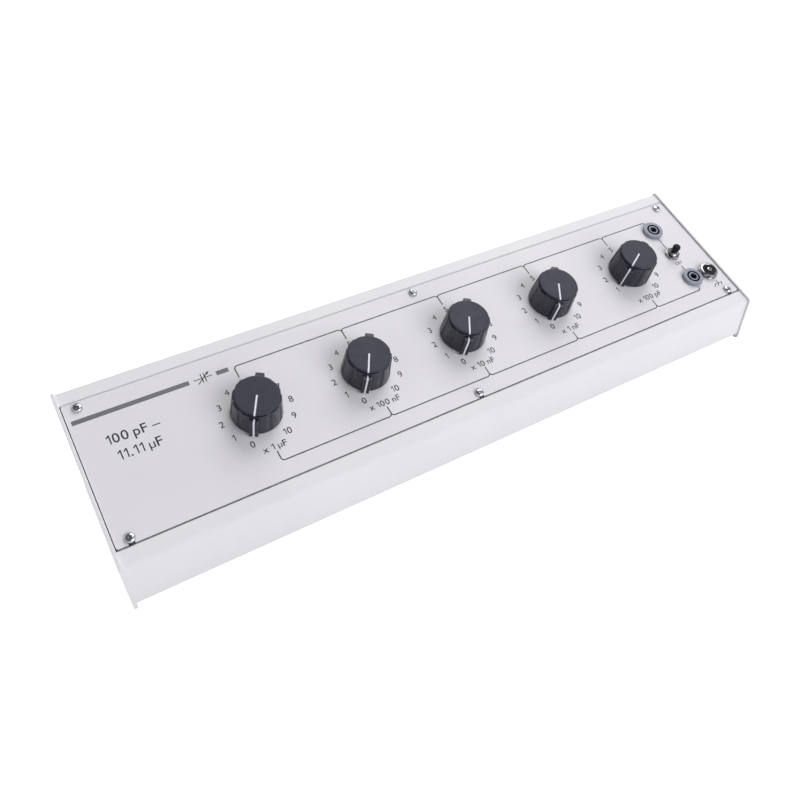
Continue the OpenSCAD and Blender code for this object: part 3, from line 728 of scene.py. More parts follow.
def paint_faces(obj: Piece, finish: Finish, test: PairTest) -> None:
    """Give some faces of a mounted piece a second finish.

    Args:
        obj: The piece, in place.
        finish: The second finish.
        test: Says from a face's middle, in millimetres, and its normal if it gets that finish.
    """
    obj.data.materials.append(finish.material())
    Bench.edit(obj, "FACE")
    Bench.pick_faces(obj, test)
    obj.active_material_index = 1
    bpy.ops.object.material_slot_assign()
    Bench.begin()


def along(corner: Vector) -> PairTest:
    """Make a test for edges that run along the box.

    Args:
        corner: A point of the line that they lie on.

    Returns:
        The test, from an edge's two ends.
    """
    def test(a: Vector, b: Vector) -> bool:
        """Tell if both ends lie on the line."""
        return all((end - corner).yz.length < 0.02 for end in (a, b))

    return test


def spread(model: Piece, places: Sequence[Matrix], name: str) -> Piece:
    """Set copies of a model and join them into one piece. The model goes.

    Args:
        model: The model on the bench.
        places: Where the copies stand, in metres.
        name: Name of the piece.

    Returns:
        The piece.
    """
    copies = []
    for place in places:
        copies.append(Bench.copy(model, name))
        Bench.stand(copies[-1], place)
    bpy.data.objects.remove(model)
    return Bench.join(copies, name)


def cut_cross(screw: Piece, top: float, length: float, width: float, depth: float) -> None:
    """Cut a tapered cross recess into a screw's head.

    Args:
        screw: The screw on the bench.
        top: Height of its head.
        length: Length of each slot.
        width: Width of each slot.
        depth: Depth of the recess.
    """
    for turn in (0, 90):
        slot = Bench.block("cross_tool", (-length / 2, -width / 2, top - depth),
                           (length / 2, width / 2, top + TOOL_HIGH))
        Bench.edit(slot, "VERT")
        Bench.pick_points(slot, lambda p: p.z < top)
        bpy.ops.transform.resize(value=(0.4, 0.8, 1), center_override=(0, 0, 0))
        Bench.stand(slot, Matrix.Rotation(math.radians(turn), 4, "Z"))
        Bench.combine(screw, slot, "DIFFERENCE")


@dataclass(frozen=True)
class PanelPlane:
    """The panel's top face, with places on it in millimetres from its middle.

    Attributes:
        slope: Slope in radians.
        middle: Middle of the face in metres.
        length: Length of the panel.
        depth: Depth of the panel along its slope.
        dial_xs: Places of the dials along the box.
        socket_x: Place of the sockets' column.
        socket_y: Distance of a socket from the middle line.
        earth_x: Place of the earth terminal.
        screws: Places of the screws.
    """

    slope: float
    middle: Vector
    length: float = 443.0
    depth: float = 90.0
    dial_xs: tuple[float, ...] = tuple(-126.5 + 70.0 * i for i in range(len(DIALS)))
    socket_x: float = 195.1
    socket_y: float = 23.3
    earth_x: float = 210.2
    screws: tuple[tuple[float, float], ...] = tuple(
        (x, y) for y in (-41.8, 40.8) for x in (-213.5, 0.0, 213.5))

    @classmethod
    def from_frame(cls) -> "PanelPlane":
        """Find the face from the frame's first dial and the panel's box.

        Returns:
            The plane.
        """
        axis = next(j for j in frame["joints"] if j["name"] == "dial_1_turn")["axis"]
        slope = math.atan2(axis[1], -axis[2])
        low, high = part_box("panel")
        half = cls.depth / 2 * MM
        return cls(slope, Vector((0, low.y + half * math.cos(slope), high.z - half * math.sin(slope))))

    def height(self, y: float) -> float:
        """Height of the sloping plane at a place across the box, both in the frame's millimetres."""
        return self.middle.z / MM + (y - self.middle.y / MM) * math.tan(self.slope)

    def place(self, x: float = 0.0, y: float = 0.0, z: float = 0.0, turn: float = 0.0) -> Matrix:
        """Where a piece stands on the panel.

        Args:
            x: Place along the box.
            y: Place up the slope.
            z: Height above the face.
            turn: Turn about the face's normal, in degrees.

        Returns:
            The matrix that puts it there.
        """
        tilt = Matrix.Rotation(self.slope, 4, "X")
        spot = Matrix.Translation((x * MM, y * MM, z * MM))
        return Matrix.Translation(self.middle) @ tilt @ spot @ Matrix.Rotation(math.radians(turn), 4, "Z")


@dataclass
class Walls:
    """The case's front and rear: sheets folded from a flange over an upright to a strip beside the panel.

    Attributes:
        plane: The panel's top face.
        flange: Width of the flanges underneath.
        front_strip: Width of the strip in front of the panel.
        rear_strip: Width of the strip behind the panel.
        sheet: Thickness of the sheet.
        bend_r: Outer radius of the folds.
        edge_r: Rounding of the strips' edges beside the panel.
    """

    plane: PanelPlane
    flange: float = 14.0
    front_strip: float = 10.0
    rear_strip: float = 10.2
    sheet: float = 1.5
    bend_r: float = 2.5
    edge_r: float = 1.2

    def build(self) -> None:
        """Fold both walls."""
        low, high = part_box("front_wall")
        self._fold("front_wall", low.y / MM, 1, self.front_strip, high.x / MM, low.z / MM)
        low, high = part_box("rear_wall")
        self._fold("rear_wall", high.y / MM, -1, self.rear_strip, high.x / MM, low.z / MM)

    def _fold(self, node: str, y: float, inward: int, strip: float, half_length: float, z: float) -> None:
        """Fold one wall.

        Args:
            node: The CAD node that it stands for.
            y: Place of its upright.
            inward: 1 if the inside of the case lies towards +Y, and -1 otherwise.
            strip: Width of its strip.
            half_length: Half of its length.
            z: Height of its underside.
        """
        lean = math.degrees(self.plane.slope)
        top = self.plane.height(y)
        run = Vector((0, inward * math.cos(self.plane.slope), inward * math.sin(self.plane.slope))) * strip
        wall = self._flange_sheet(node, y, inward, half_length, z)
        Bench.edit(wall, "EDGE")
        Bench.pick_edges(wall, lambda a, b: max(abs(a.y - y), abs(b.y - y)) < 0.01)
        bpy.ops.mesh.extrude_region_move(TRANSFORM_OT_translate={"value": (0, 0, (top - z) * MM)})
        bpy.ops.mesh.extrude_region_move(TRANSFORM_OT_translate={"value": run * MM})
        low_corner, high_corner = Vector((0, y, z)), Vector((0, y, top))
        turn = 90 - inward * lean
        Bench.bevel(wall, self.bend_r, 8, along(low_corner))
        Bench.bevel(wall, self.bend_r * math.tan(math.radians(turn / 2)), 10, along(high_corner))
        Bench.modify(wall, "SOLIDIFY", thickness=self.sheet * MM, offset=1.0, use_even_offset=True)
        Bench.bevel(wall, self.edge_r, 5, along(high_corner + run))
        Bench.soften(wall, 0.15)
        Bench.polish(wall)
        mount(wall, Body.CASE, CASE_LACQUER, Slot.CASE, [node])

    def _flange_sheet(self, node: str, y: float, inward: int, half_length: float, z: float) -> Piece:
        """Lay the flat sheet of a flange.

        Args:
            node: The CAD node that the wall stands for.
            y: Place of the wall's upright.
            inward: 1 if the inside of the case lies towards +Y, and -1 otherwise.
            half_length: Half of the wall's length.
            z: Height of the underside.

        Returns:
            The sheet.
        """
        Bench.begin()
        middle = (0, (y + inward * self.flange / 2) * MM, z * MM)
        bpy.ops.mesh.primitive_plane_add(size=1, location=middle)
        sheet = bpy.context.object
        sheet.name = f"folded_{node}"
        sheet.scale = (2 * half_length * MM, self.flange * MM, 1)
        bpy.ops.object.transform_apply(location=True, rotation=True, scale=True)
        return sheet


@dataclass
class EndPlates:
    """The two end plates with their countersunk screws.

    Attributes:
        plane: The panel's top face.
        lip: How far the plates stand proud of the case.
        corner_r: Radius of the three smaller corners.
        peak_r: Radius of the upper rear corner.
        head_r: Radius of the screws' heads.
        thread_r: Radius of the screws' threads.
        screw_l: Length of the screws.
        edge_r: Rounding of the plates' edges.
        recess: Length, width and depth of the screws' cross recess.
        turns: Turn of each screw, in degrees.
    """

    plane: PanelPlane
    lip: float = 1.2
    corner_r: float = 2.0
    peak_r: float = 2.5
    head_r: float = 3.0
    thread_r: float = 1.5
    screw_l: float = 7.0
    edge_r: float = 0.3
    recess: tuple[float, float, float] = (3.0, 0.7, 1.1)
    turns: tuple[int, ...] = (20, 65, 40, 75, 10, 50)

    def build(self) -> None:
        """Cut both plates and drive their screws."""
        places = [place for side in (-1, 1) for place in self._screw_places(side)]
        for side, node in ((-1, "end_plate_left"), (1, "end_plate_right")):
            self._plate(side, node)
        screw = self._screw()
        heads = [place @ Matrix.Rotation(math.radians(turn), 4, "Z")
                 for place, turn in zip(places, self.turns)]
        screws = spread(screw, heads, "end_plate_screw_heads")
        mount(screws, Body.CASE, SCREW_ZINC, Slot.ZINC, ["end_plate_screws"])

    def _screw_places(self, side: int) -> list[Matrix]:
        """Find a plate's screws from the frame.

        Args:
            side: -1 for the left plate and 1 for the right one.

        Returns:
            The place of each head, its axis pointing outwards.
        """
        low, high = (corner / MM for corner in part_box("end_plate_screws"))
        front, rear = low.y + self.head_r, high.y - self.head_r
        lower, upper = low.z + self.head_r, high.z - self.head_r
        tip = Matrix.Rotation(math.radians(side * 90), 4, "Y")
        spots = ((front, lower), (rear, lower), (rear, upper))
        return [Matrix.Translation(Vector((side * high.x, y, z)) * MM) @ tip for y, z in spots]

    def _plate(self, side: int, node: str) -> None:
        """Cut one plate.

        Args:
            side: -1 for the left plate and 1 for the right one.
            node: The CAD node that it stands for.
        """
        low, high = (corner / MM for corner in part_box(node))
        slope = self.plane.slope
        rise = self.lip / math.cos(slope)
        front_top = self.plane.height(low.y) + rise
        rear_top = self.plane.height(high.y) + rise
        plate = Bench.block(f"cut_{node}", low, (high.x, high.y, rear_top))
        Bench.edit(plate, "VERT")
        Bench.pick_points(plate, lambda p: p.y < low.y + 0.01 and p.z > low.z + 1)
        bpy.ops.transform.translate(value=(0, 0, (front_top - rear_top) * MM))
        for y, z, radius, turn in (
            (low.y, low.z, self.corner_r, 90),
            (high.y, low.z, self.corner_r, 90),
            (low.y, front_top, self.corner_r, 90 - math.degrees(slope)),
            (high.y, rear_top, self.peak_r, 90 + math.degrees(slope)),
        ):
            Bench.bevel(plate, radius * math.tan(math.radians(turn / 2)), 6, along(Vector((0, y, z))))
        Bench.soften(plate, self.edge_r, 3)
        for place in self._screw_places(side):
            sink = Bench.turned("sink_tool", [(self.thread_r, TOOL_LOW), (self.thread_r, -self.thread_r),
                                              (self.head_r, 0), (self.head_r, TOOL_HIGH)])
            Bench.stand(sink, place)
            Bench.combine(plate, sink, "DIFFERENCE")
        Bench.polish(plate)
        mount(plate, Body.CASE, CASE_LACQUER, Slot.CASE, [node])

    def _screw(self) -> Piece:
        """Turn one countersunk screw with a cross recess.

        Returns:
            The screw, its head's face on the bench.
        """
        screw = Bench.turned("sunk_screw_model", [
            (self.thread_r - 0.3, -self.screw_l), (self.thread_r - 0.04, 0.4 - self.screw_l),
            (self.thread_r - 0.04, -self.thread_r - 0.04), (self.head_r - 0.1, -0.16),
            (self.head_r - 0.1, -0.06), (self.head_r - 0.2, -0.02), (1.0, -0.01)], 48)
        cut_cross(screw, 0.0, *self.recess)
        Bench.polish(screw)
        return screw


@dataclass
class PanelPlate:
    """The front panel with its holes and the open slots of its front screws.

    Attributes:
        plane: The panel's top face.
        thickness: Thickness of the plate.
        corner_r: Radius of its corners.
        edge_r: Rounding of its edges.
        slot_w: Width of the screw holes and slots.
        dial_hole_r: Radius of the dials' holes.
        socket_hole_r: Radius of the sockets' holes.
        toggle_hole_r: Radius of the toggle's hole.
        earth_hole_r: Radius of the earth terminal's hole.
    """

    plane: PanelPlane
    thickness: float = 1.5
    corner_r: float = 1.5
    edge_r: float = 0.08
    slot_w: float = 3.4
    dial_hole_r: float = 4.93
    socket_hole_r: float = 6.03
    toggle_hole_r: float = 3.13
    earth_hole_r: float = 3.93

    def build(self) -> None:
        """Cut the plate from a block."""
        plane, half = self.plane, self.slot_w / 2
        x, y = plane.length / 2, plane.depth / 2
        plate = Bench.block("cut_panel", (-x, -y, -self.thickness), (x, y, 0))
        Bench.bevel(plate, self.corner_r, 6, lambda a, b: abs(a.z - b.z) > 1)
        Bench.soften(plate, self.edge_r)
        holes = [(dial_x, 0.0, self.dial_hole_r) for dial_x in plane.dial_xs]
        holes += [(plane.socket_x, side * plane.socket_y, self.socket_hole_r) for side in (-1, 1)]
        holes.append((plane.socket_x, 0.0, self.toggle_hole_r))
        holes.append((plane.earth_x, -plane.socket_y, self.earth_hole_r))
        holes += [(screw_x, screw_y, half) for screw_x, screw_y in plane.screws]
        for hole_x, hole_y, radius in holes:
            drill = Bench.turned("drill", [(radius, TOOL_LOW), (radius, TOOL_HIGH)], 40)
            Bench.stand(drill, Matrix.Translation((hole_x * MM, hole_y * MM, 0)))
            Bench.combine(plate, drill, "DIFFERENCE")
        for screw_x, screw_y in plane.screws:
            if screw_y < 0:
                mill = Bench.block("mill", (screw_x - half, -y - TOOL_HIGH, TOOL_LOW),
                                   (screw_x + half, screw_y, TOOL_HIGH))
                Bench.combine(plate, mill, "DIFFERENCE")
        Bench.polish(plate)
        Bench.stand(plate, self.plane.place())
        mount(plate, Body.CASE, PANEL_LACQUER, Slot.PANEL, ["panel"])
        # Painted shade: the panel's edge faces are painted darker to stand for the shadow in the gap around it.
        paint_faces(plate, PAINTED_GAP_SHADE, lambda middle, normal: abs(normal.z) < math.cos(self.plane.slope) - 0.3)


@dataclass
class PanHeads:
    """Pan-head screws with cross recesses, on the panel and under the base.

    Attributes:
        plane: The panel's top face.
        head_r: Radius of a head.
        head_h: Height of a head.
        thread_r: Radius of a thread.
        length: Length under the head.
        recess: Length, width and depth of the cross recess.
        turns: Turn of each screw on the panel, in degrees.
    """

    plane: PanelPlane
    head_r: float = 2.9
    head_h: float = 2.0
    thread_r: float = 1.5
    length: float = 7.0
    recess: tuple[float, float, float] = (3.7, 0.85, 1.3)
    turns: tuple[int, ...] = (18, 62, 35, 80, 8, 48)

    def build(self) -> None:
        """Turn one screw and set copies of it."""
        on_panel = [self.plane.place(x, y, 0.02, turn)
                    for (x, y), turn in zip(self.plane.screws, self.turns)]
        screws = spread(self._screw(), on_panel, "panel_screw_heads")
        mount(screws, Body.CASE, SCREW_ZINC, Slot.ZINC, ["panel_screws"])
        low, high = (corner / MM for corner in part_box("base_screws"))
        xs = (low.x + self.head_r, 0.0, high.x - self.head_r)
        ys = (low.y + self.head_r, high.y - self.head_r)
        face_z = low.z + self.head_h
        down = Matrix.Rotation(math.pi, 4, "X")
        spots = [Matrix.Translation(Vector((x, y, face_z)) * MM) @ down for y in ys for x in xs]
        below = spread(self._screw(), spots, "base_screw_heads")
        mount(below, Body.CASE, SCREW_ZINC, Slot.ZINC, ["base_screws"])

    def _screw(self) -> Piece:
        """Turn one screw.

        Returns:
            The screw, its head standing on the bench.
        """
        r, h = self.head_r, self.head_h
        dome = [(r - 0.15, 0.0), (r, 0.12), (r, 0.36 * h), (0.97 * r, 0.5 * h), (0.9 * r, 0.66 * h),
                (0.78 * r, 0.8 * h), (0.6 * r, 0.92 * h), (0.4 * r, 0.98 * h), (0.15 * r, h)]
        shank = [(self.thread_r - 0.3, -self.length), (self.thread_r - 0.04, 0.4 - self.length),
                 (self.thread_r - 0.04, 0.0)]
        screw = Bench.turned("pan_screw_model", shank + dome, 48)
        cut_cross(screw, h, *self.recess)
        Bench.polish(screw)
        return screw


@dataclass
class Feet:
    """Four rubber feet.

    Attributes:
        radius: Radius at the case.
    """

    radius: float = 4.5

    def build(self) -> None:
        """Turn one foot and set four."""
        low, high = (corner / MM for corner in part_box("feet"))
        r, h = self.radius, high.z - low.z
        dimple = [(1.5, 1.2), (1.5, 0.25), (1.75, 0.0)]
        side = [(0.74 * r, 0.0), (0.81 * r, 0.1), (0.85 * r, 0.4), (0.99 * r, h - 0.25), (0.97 * r, h)]
        foot = Bench.turned("foot_model", dimple + side, 48)
        Bench.polish(foot)
        spots = [Matrix.Translation(Vector((x, y, 0)) * MM)
                 for x in (low.x + r, high.x - r) for y in (low.y + r, high.y - r)]
        mount(spread(foot, spots, "rubber_feet"), Body.CASE, RUBBER, Slot.RUBBER, ["feet"])


@dataclass
class Knobs:
    """Five fluted pointer knobs with caps and white lines.

    Attributes:
        plane: The panel's top face.
        base_r: Radius at the panel.
        top_r: Radius under the cap.
        lift: Gap above the panel.
        height: Height without the cap.
        hollow_r: Radius of the hollow around the shaft.
        hollow_top: Height of the hollow's end.
        well_r: Radius of the well for the cap's plug.
        well_t: Depth of that well.
        plug_r: Radius of the plug.
        plug_l: Length of the plug below the top of the knob.
        divisions: Divisions of a whole turn, with two fins and a flute in each other place.
        flute_r: Radius of a flute.
        flute_depth: Depth of a flute.
        run_out: Height over which the flutes run out at the base.
        flute_span: Degrees on each side of a flute's middle that its points lie in.
        fin_start: Start of the fins, inside the knob.
        fin_reach: Reach of the fins from the axis.
        fin_w: Width of the fins at their ends.
        fin_root_w: Width of the fins at the knob.
        fin_drop: How far the fins stay below the top of the knob.
        channel_w: Width of the channel over the pointer's top and down its end.
        channel_t: Depth of that channel.
        cap_r: Radius of the cap.
        cap_t: Thickness of the cap's disc.
        cap_bevel: Bevel on the cap's rim.
        groove: Groove between the cap and the knob.
        mark_w: Width of the white line.
        zero: Direction of the lowest number, in degrees.
        rest_steps: Steps of each pointer from that number.
    """

    plane: PanelPlane
    base_r: float = 14.8
    top_r: float = 13.6
    lift: float = 0.6
    height: float = 16.8
    hollow_r: float = 9.3
    hollow_top: float = 6.5
    well_r: float = 11.7
    well_t: float = 2.6
    plug_r: float = 11.6
    plug_l: float = 2.5
    divisions: int = 10
    flute_r: float = 2.3
    flute_depth: float = 0.75
    run_out: float = 3.2
    flute_span: int = 7
    fin_start: float = 12.2
    fin_reach: float = 16.6
    fin_w: float = 5.0
    fin_root_w: float = 5.7
    fin_drop: float = 1.4
    channel_w: float = 3.0
    channel_t: float = 0.5
    cap_r: float = 12.9
    cap_t: float = 0.9
    cap_bevel: float = 0.6
    groove: float = 0.5
    mark_w: float = 1.0
    zero: float = -120.0
    rest_steps: tuple[int, ...] = (0, 0, 0, 0, 1)

    def build(self) -> None:
        """Model one knob and set a copy on each dial."""
        knob, cap, mark = self._knob(), self._cap(), self._mark()
        for i, body in enumerate(DIALS):
            place = self.plane.place(self.plane.dial_xs[i], turn=self.zero - DIAL_STEP * self.rest_steps[i])
            for model, finish, slot, node in (
                (knob, KNOB_SKIN, Slot.KNOB, f"knob_{i + 1}"),
                (cap, CAP_SKIN, Slot.KNOB_CAP, f"knob_cap_{i + 1}"),
                (mark, WHITE_FILL, Slot.MARK, f"pointer_mark_{i + 1}"),
            ):
                piece = Bench.copy(model, f"turned_{node}")
                Bench.stand(piece, place)
                mount(piece, body, finish, slot, [node])
        for model in (knob, cap, mark):
            bpy.data.objects.remove(model)

    @property
    def fin_top(self) -> float:
        """Height of the fins' tops."""
        return self.height - self.fin_drop

    @property
    def cap_top(self) -> float:
        """Height of the cap's face."""
        return self.height + self.groove + self.cap_t

    def _knob(self) -> Piece:
        """Model the fluted body with its two fins.

        Returns:
            The knob, its pointer along +X.
        """
        foot = self.lift + self.run_out
        foot_r = self.base_r + (self.top_r - self.base_r) * self.run_out / (self.height - self.lift)
        profile = [(self.hollow_r, self.hollow_top), (self.hollow_r, self.lift + 0.2),
                   (self.hollow_r + 0.2, self.lift), (self.base_r - 0.25, self.lift),
                   (self.base_r, self.lift + 0.25), (foot_r, foot),
                   (self.top_r, self.height - 0.2), (self.top_r - 0.2, self.height),
                   (self.well_r + 0.05, self.height), (self.well_r, self.height - self.well_t)]
        knob = Bench.turned("knob_model", profile, 360)
        self._draw_flutes(knob)
        for turn in (0, 180):
            fin = self._fin()
            if turn == 0:
                self._mill_channel(fin)
            Bench.stand(fin, Matrix.Rotation(math.radians(turn), 4, "Z"))
            Bench.combine(knob, fin, "UNION")
        Bench.polish(knob, 30)
        return knob

    def _fin(self) -> Piece:
        """Model one tapered fin with bevelled edges.

        Returns:
            The fin along +X.
        """
        half, root, end, top = self.fin_root_w / 2, self.fin_start, self.fin_reach, self.fin_top
        fin = Bench.block("fin_model", (root, -half, self.lift), (end, half, top))
        Bench.edit(fin, "VERT")
        Bench.pick_points(fin, lambda p: p.x > end - 0.1)
        narrow = self.fin_w / self.fin_root_w
        bpy.ops.transform.resize(value=(1, narrow, 1), center_override=(0, 0, 0))
        Bench.bevel(fin, 0.6, 2, lambda a, b: min(a.x, b.x) > end - 0.1 and abs(a.z - b.z) > 1)
        Bench.bevel(fin, 0.35, 3, lambda a, b: min(a.z, b.z) > top - 0.1 and max(a.x, b.x) > root + 0.1)
        return fin

    def _mill_channel(self, fin: Piece) -> None:
        """Cut the channel of the white line over a fin's top and down its end.

        Args:
            fin: The fin along +X.
        """
        half, end, top = self.channel_w / 2, self.fin_reach - self.channel_t, self.fin_top - self.channel_t
        for low in ((end, -half, self.lift - 1), (self.top_r - 3, -half, top)):
            mill = Bench.block("mill", low, (self.fin_reach + 1, half, self.fin_top + 1))
            Bench.combine(fin, mill, "DIFFERENCE")

    def _draw_flutes(self, knob: Piece) -> None:
        """Draw in the side's points along each flute, apart from the two places of the fins.

        Args:
            knob: The turned body.
        """
        step = 360 / self.divisions
        mean_r = (self.base_r + self.top_r) / 2
        Bench.edit(knob, "VERT")

        def offset(p: Vector) -> float | None:
            """Degrees of a side point from the middle of its flute, or None where there is no flute."""
            if p.xy.length < self.top_r - 0.6 or p.z < self.lift + self.run_out - 0.1:
                return None
            angle = math.degrees(math.atan2(p.y, p.x))
            place = round(angle / step)
            return None if place % (self.divisions // 2) == 0 else angle - place * step

        def matches(p: Vector, degrees: int) -> bool:
            """Tell if a point lies at an angle from the middle of its flute."""
            found = offset(p)
            return found is not None and abs(found - degrees) < 0.25

        for degrees in range(-self.flute_span, self.flute_span + 1):
            across = mean_r * math.sin(math.radians(degrees))
            if abs(across) < self.flute_r:
                rise = self.flute_r - math.sqrt(self.flute_r ** 2 - across ** 2)
                factor = 1 - max(0.0, self.flute_depth - rise) / mean_r
                Bench.pick_points(knob, lambda p, degrees=degrees: matches(p, degrees))
                bpy.ops.transform.resize(value=(factor, factor, 1), center_override=(0, 0, 0))
        Bench.begin()

    def _cap(self) -> Piece:
        """Model the cap with its plug.

        Returns:
            The cap.
        """
        low, top, r, bevel = self.height + self.groove, self.cap_top, self.cap_r, self.cap_bevel
        profile = [(self.plug_r, self.height - self.plug_l), (self.plug_r, low), (r - 0.08, low),
                   (r, low + 0.08), (r, top - bevel - 0.03), (r - 0.03, top - bevel + 0.03),
                   (r - bevel + 0.03, top - 0.03),
                   (r - bevel - 0.05, top), (r - 2 * bevel, top), (4.0, top + 0.01)]
        cap = Bench.turned("cap_model", profile, 120)
        Bench.polish(cap, 28)
        return cap

    def _mark(self) -> Piece:
        """Model the white line across the cap, over its rim, along the pointer fin and down its end.

        Returns:
            The line, along +X.
        """
        half, skin, deep = self.mark_w / 2, 0.03, self.channel_t + 0.15
        edge_x = self.cap_r - self.cap_bevel
        on_cap = self._band("mark_on_cap", (0, -half, self.cap_top - 0.15),
                            (edge_x, half, self.cap_top + skin), self.cap_bevel)
        rim = self._band("mark_on_rim", (self.cap_r - 0.2, -half, self.height + self.groove + 0.05),
                         (self.cap_r + skin, half, self.cap_top - self.cap_bevel), 0.0)
        on_fin = self._band("mark_on_fin", (self.top_r - 0.3, -half, self.fin_top - deep),
                            (self.fin_reach - 0.1, half, self.fin_top + skin), 0.1)
        down = self._band("mark_down_fin", (self.fin_reach - deep, -half, self.lift + 0.1),
                          (self.fin_reach + skin, half, self.fin_top - 0.1), 0.0)
        mark = Bench.join([on_cap, rim, on_fin, down], "mark_model")
        Bench.polish(mark, 30)
        return mark

    @staticmethod
    def _band(name: str, low: Sequence[float], high: Sequence[float], slant: float) -> Piece:
        """Model one stretch of the white line.

        Args:
            name: Name of the stretch.
            low: Its lowest corner.
            high: Its highest corner.
            slant: How far its +X end runs on and down over a bevel.

        Returns:
            The stretch.
        """
        band = Bench.block(name, low, high)
        if slant:
            Bench.edit(band, "FACE")
            Bench.pick_faces(band, lambda middle, normal: normal.x > 0.9)
            bpy.ops.mesh.extrude_region_move(TRANSFORM_OT_translate={"value": (slant * MM, 0, -slant * MM)})
        Bench.soften(band, 0.015, 1)
        return band


@dataclass
class Sockets:
    """The two safety sockets' moulded housings.

    Attributes:
        plane: The panel's top face.
        collar_r: Radius of the collar.
        collar_h: Height of the collar.
        bevel: Rounding of the collar's edge.
        barrel_r: Radius of the barrel.
        barrel_l: Length of the barrel below the panel's top.
        slot_r: Outer radius of the slot for a plug's sleeve.
        slot_depth: Depth of that slot.
        core_r: Radius of the core inside it.
        bore_r: Radius of the core's bore.
    """

    plane: PanelPlane
    collar_r: float = 7.4
    collar_h: float = 2.5
    bevel: float = 0.6
    barrel_r: float = 6.0
    barrel_l: float = 20.0
    slot_r: float = 4.75
    slot_depth: float = 14.0
    core_r: float = 3.5
    bore_r: float = 2.43

    def build(self) -> None:
        """Turn one housing and set two."""
        model = self._housing()
        for side, node in ((1, "socket_rear"), (-1, "socket_front")):
            housing = Bench.copy(model, f"moulded_{node}")
            Bench.stand(housing, self.plane.place(self.plane.socket_x, side * self.plane.socket_y))
            mount(housing, Body.CASE, SOCKET_SKIN, Slot.SOCKET, [node])
            self._darken_slot(housing, side)
        bpy.data.objects.remove(model)

    def _darken_slot(self, housing: Piece, side: int) -> None:
        """Paint the faces inside the slot and the bore darker, as painted shade in the recess.

        Args:
            housing: The housing, in place.
            side: 1 for the rear socket and -1 for the front one.
        """
        home = self.plane.place(self.plane.socket_x, side * self.plane.socket_y).inverted()

        def inside(middle: Vector, normal: Vector) -> bool:
            """Tell if a face lies in the slot or the bore, below the collar's face."""
            spot = home @ (middle * MM) / MM
            return spot.z < self.collar_h - 0.1 and spot.xy.length < self.slot_r + 0.1

        paint_faces(housing, SOCKET_SLOT_SHADE, inside)

    def _housing(self) -> Piece:
        """Turn a housing with its slot and core.

        Returns:
            The housing, its collar standing on the bench.
        """
        r, h, e = self.collar_r, self.collar_h, self.bevel
        outside = [(self.bore_r, -self.barrel_l), (self.barrel_r, -self.barrel_l), (self.barrel_r, 0.0),
                   (r - 0.1, 0.0), (r, 0.1), (r, h - e), (r - 0.1 * e, h - 0.6 * e),
                   (r - 0.4 * e, h - 0.15 * e), (r - e, h)]
        slot = [(self.slot_r + 0.2, h), (self.slot_r + 0.05, h - 0.06), (self.slot_r, h - 0.2),
                (self.slot_r, -self.slot_depth), (self.core_r, -self.slot_depth)]
        core = [(self.core_r, h - 0.2), (self.core_r - 0.06, h - 0.06), (self.core_r - 0.2, h),
                (self.bore_r + 0.2, h), (self.bore_r + 0.05, h - 0.06), (self.bore_r, h - 0.2)]
        housing = Bench.turned("housing_model", outside + slot + core, 96, ring=True)
        Bench.polish(housing)
        return housing


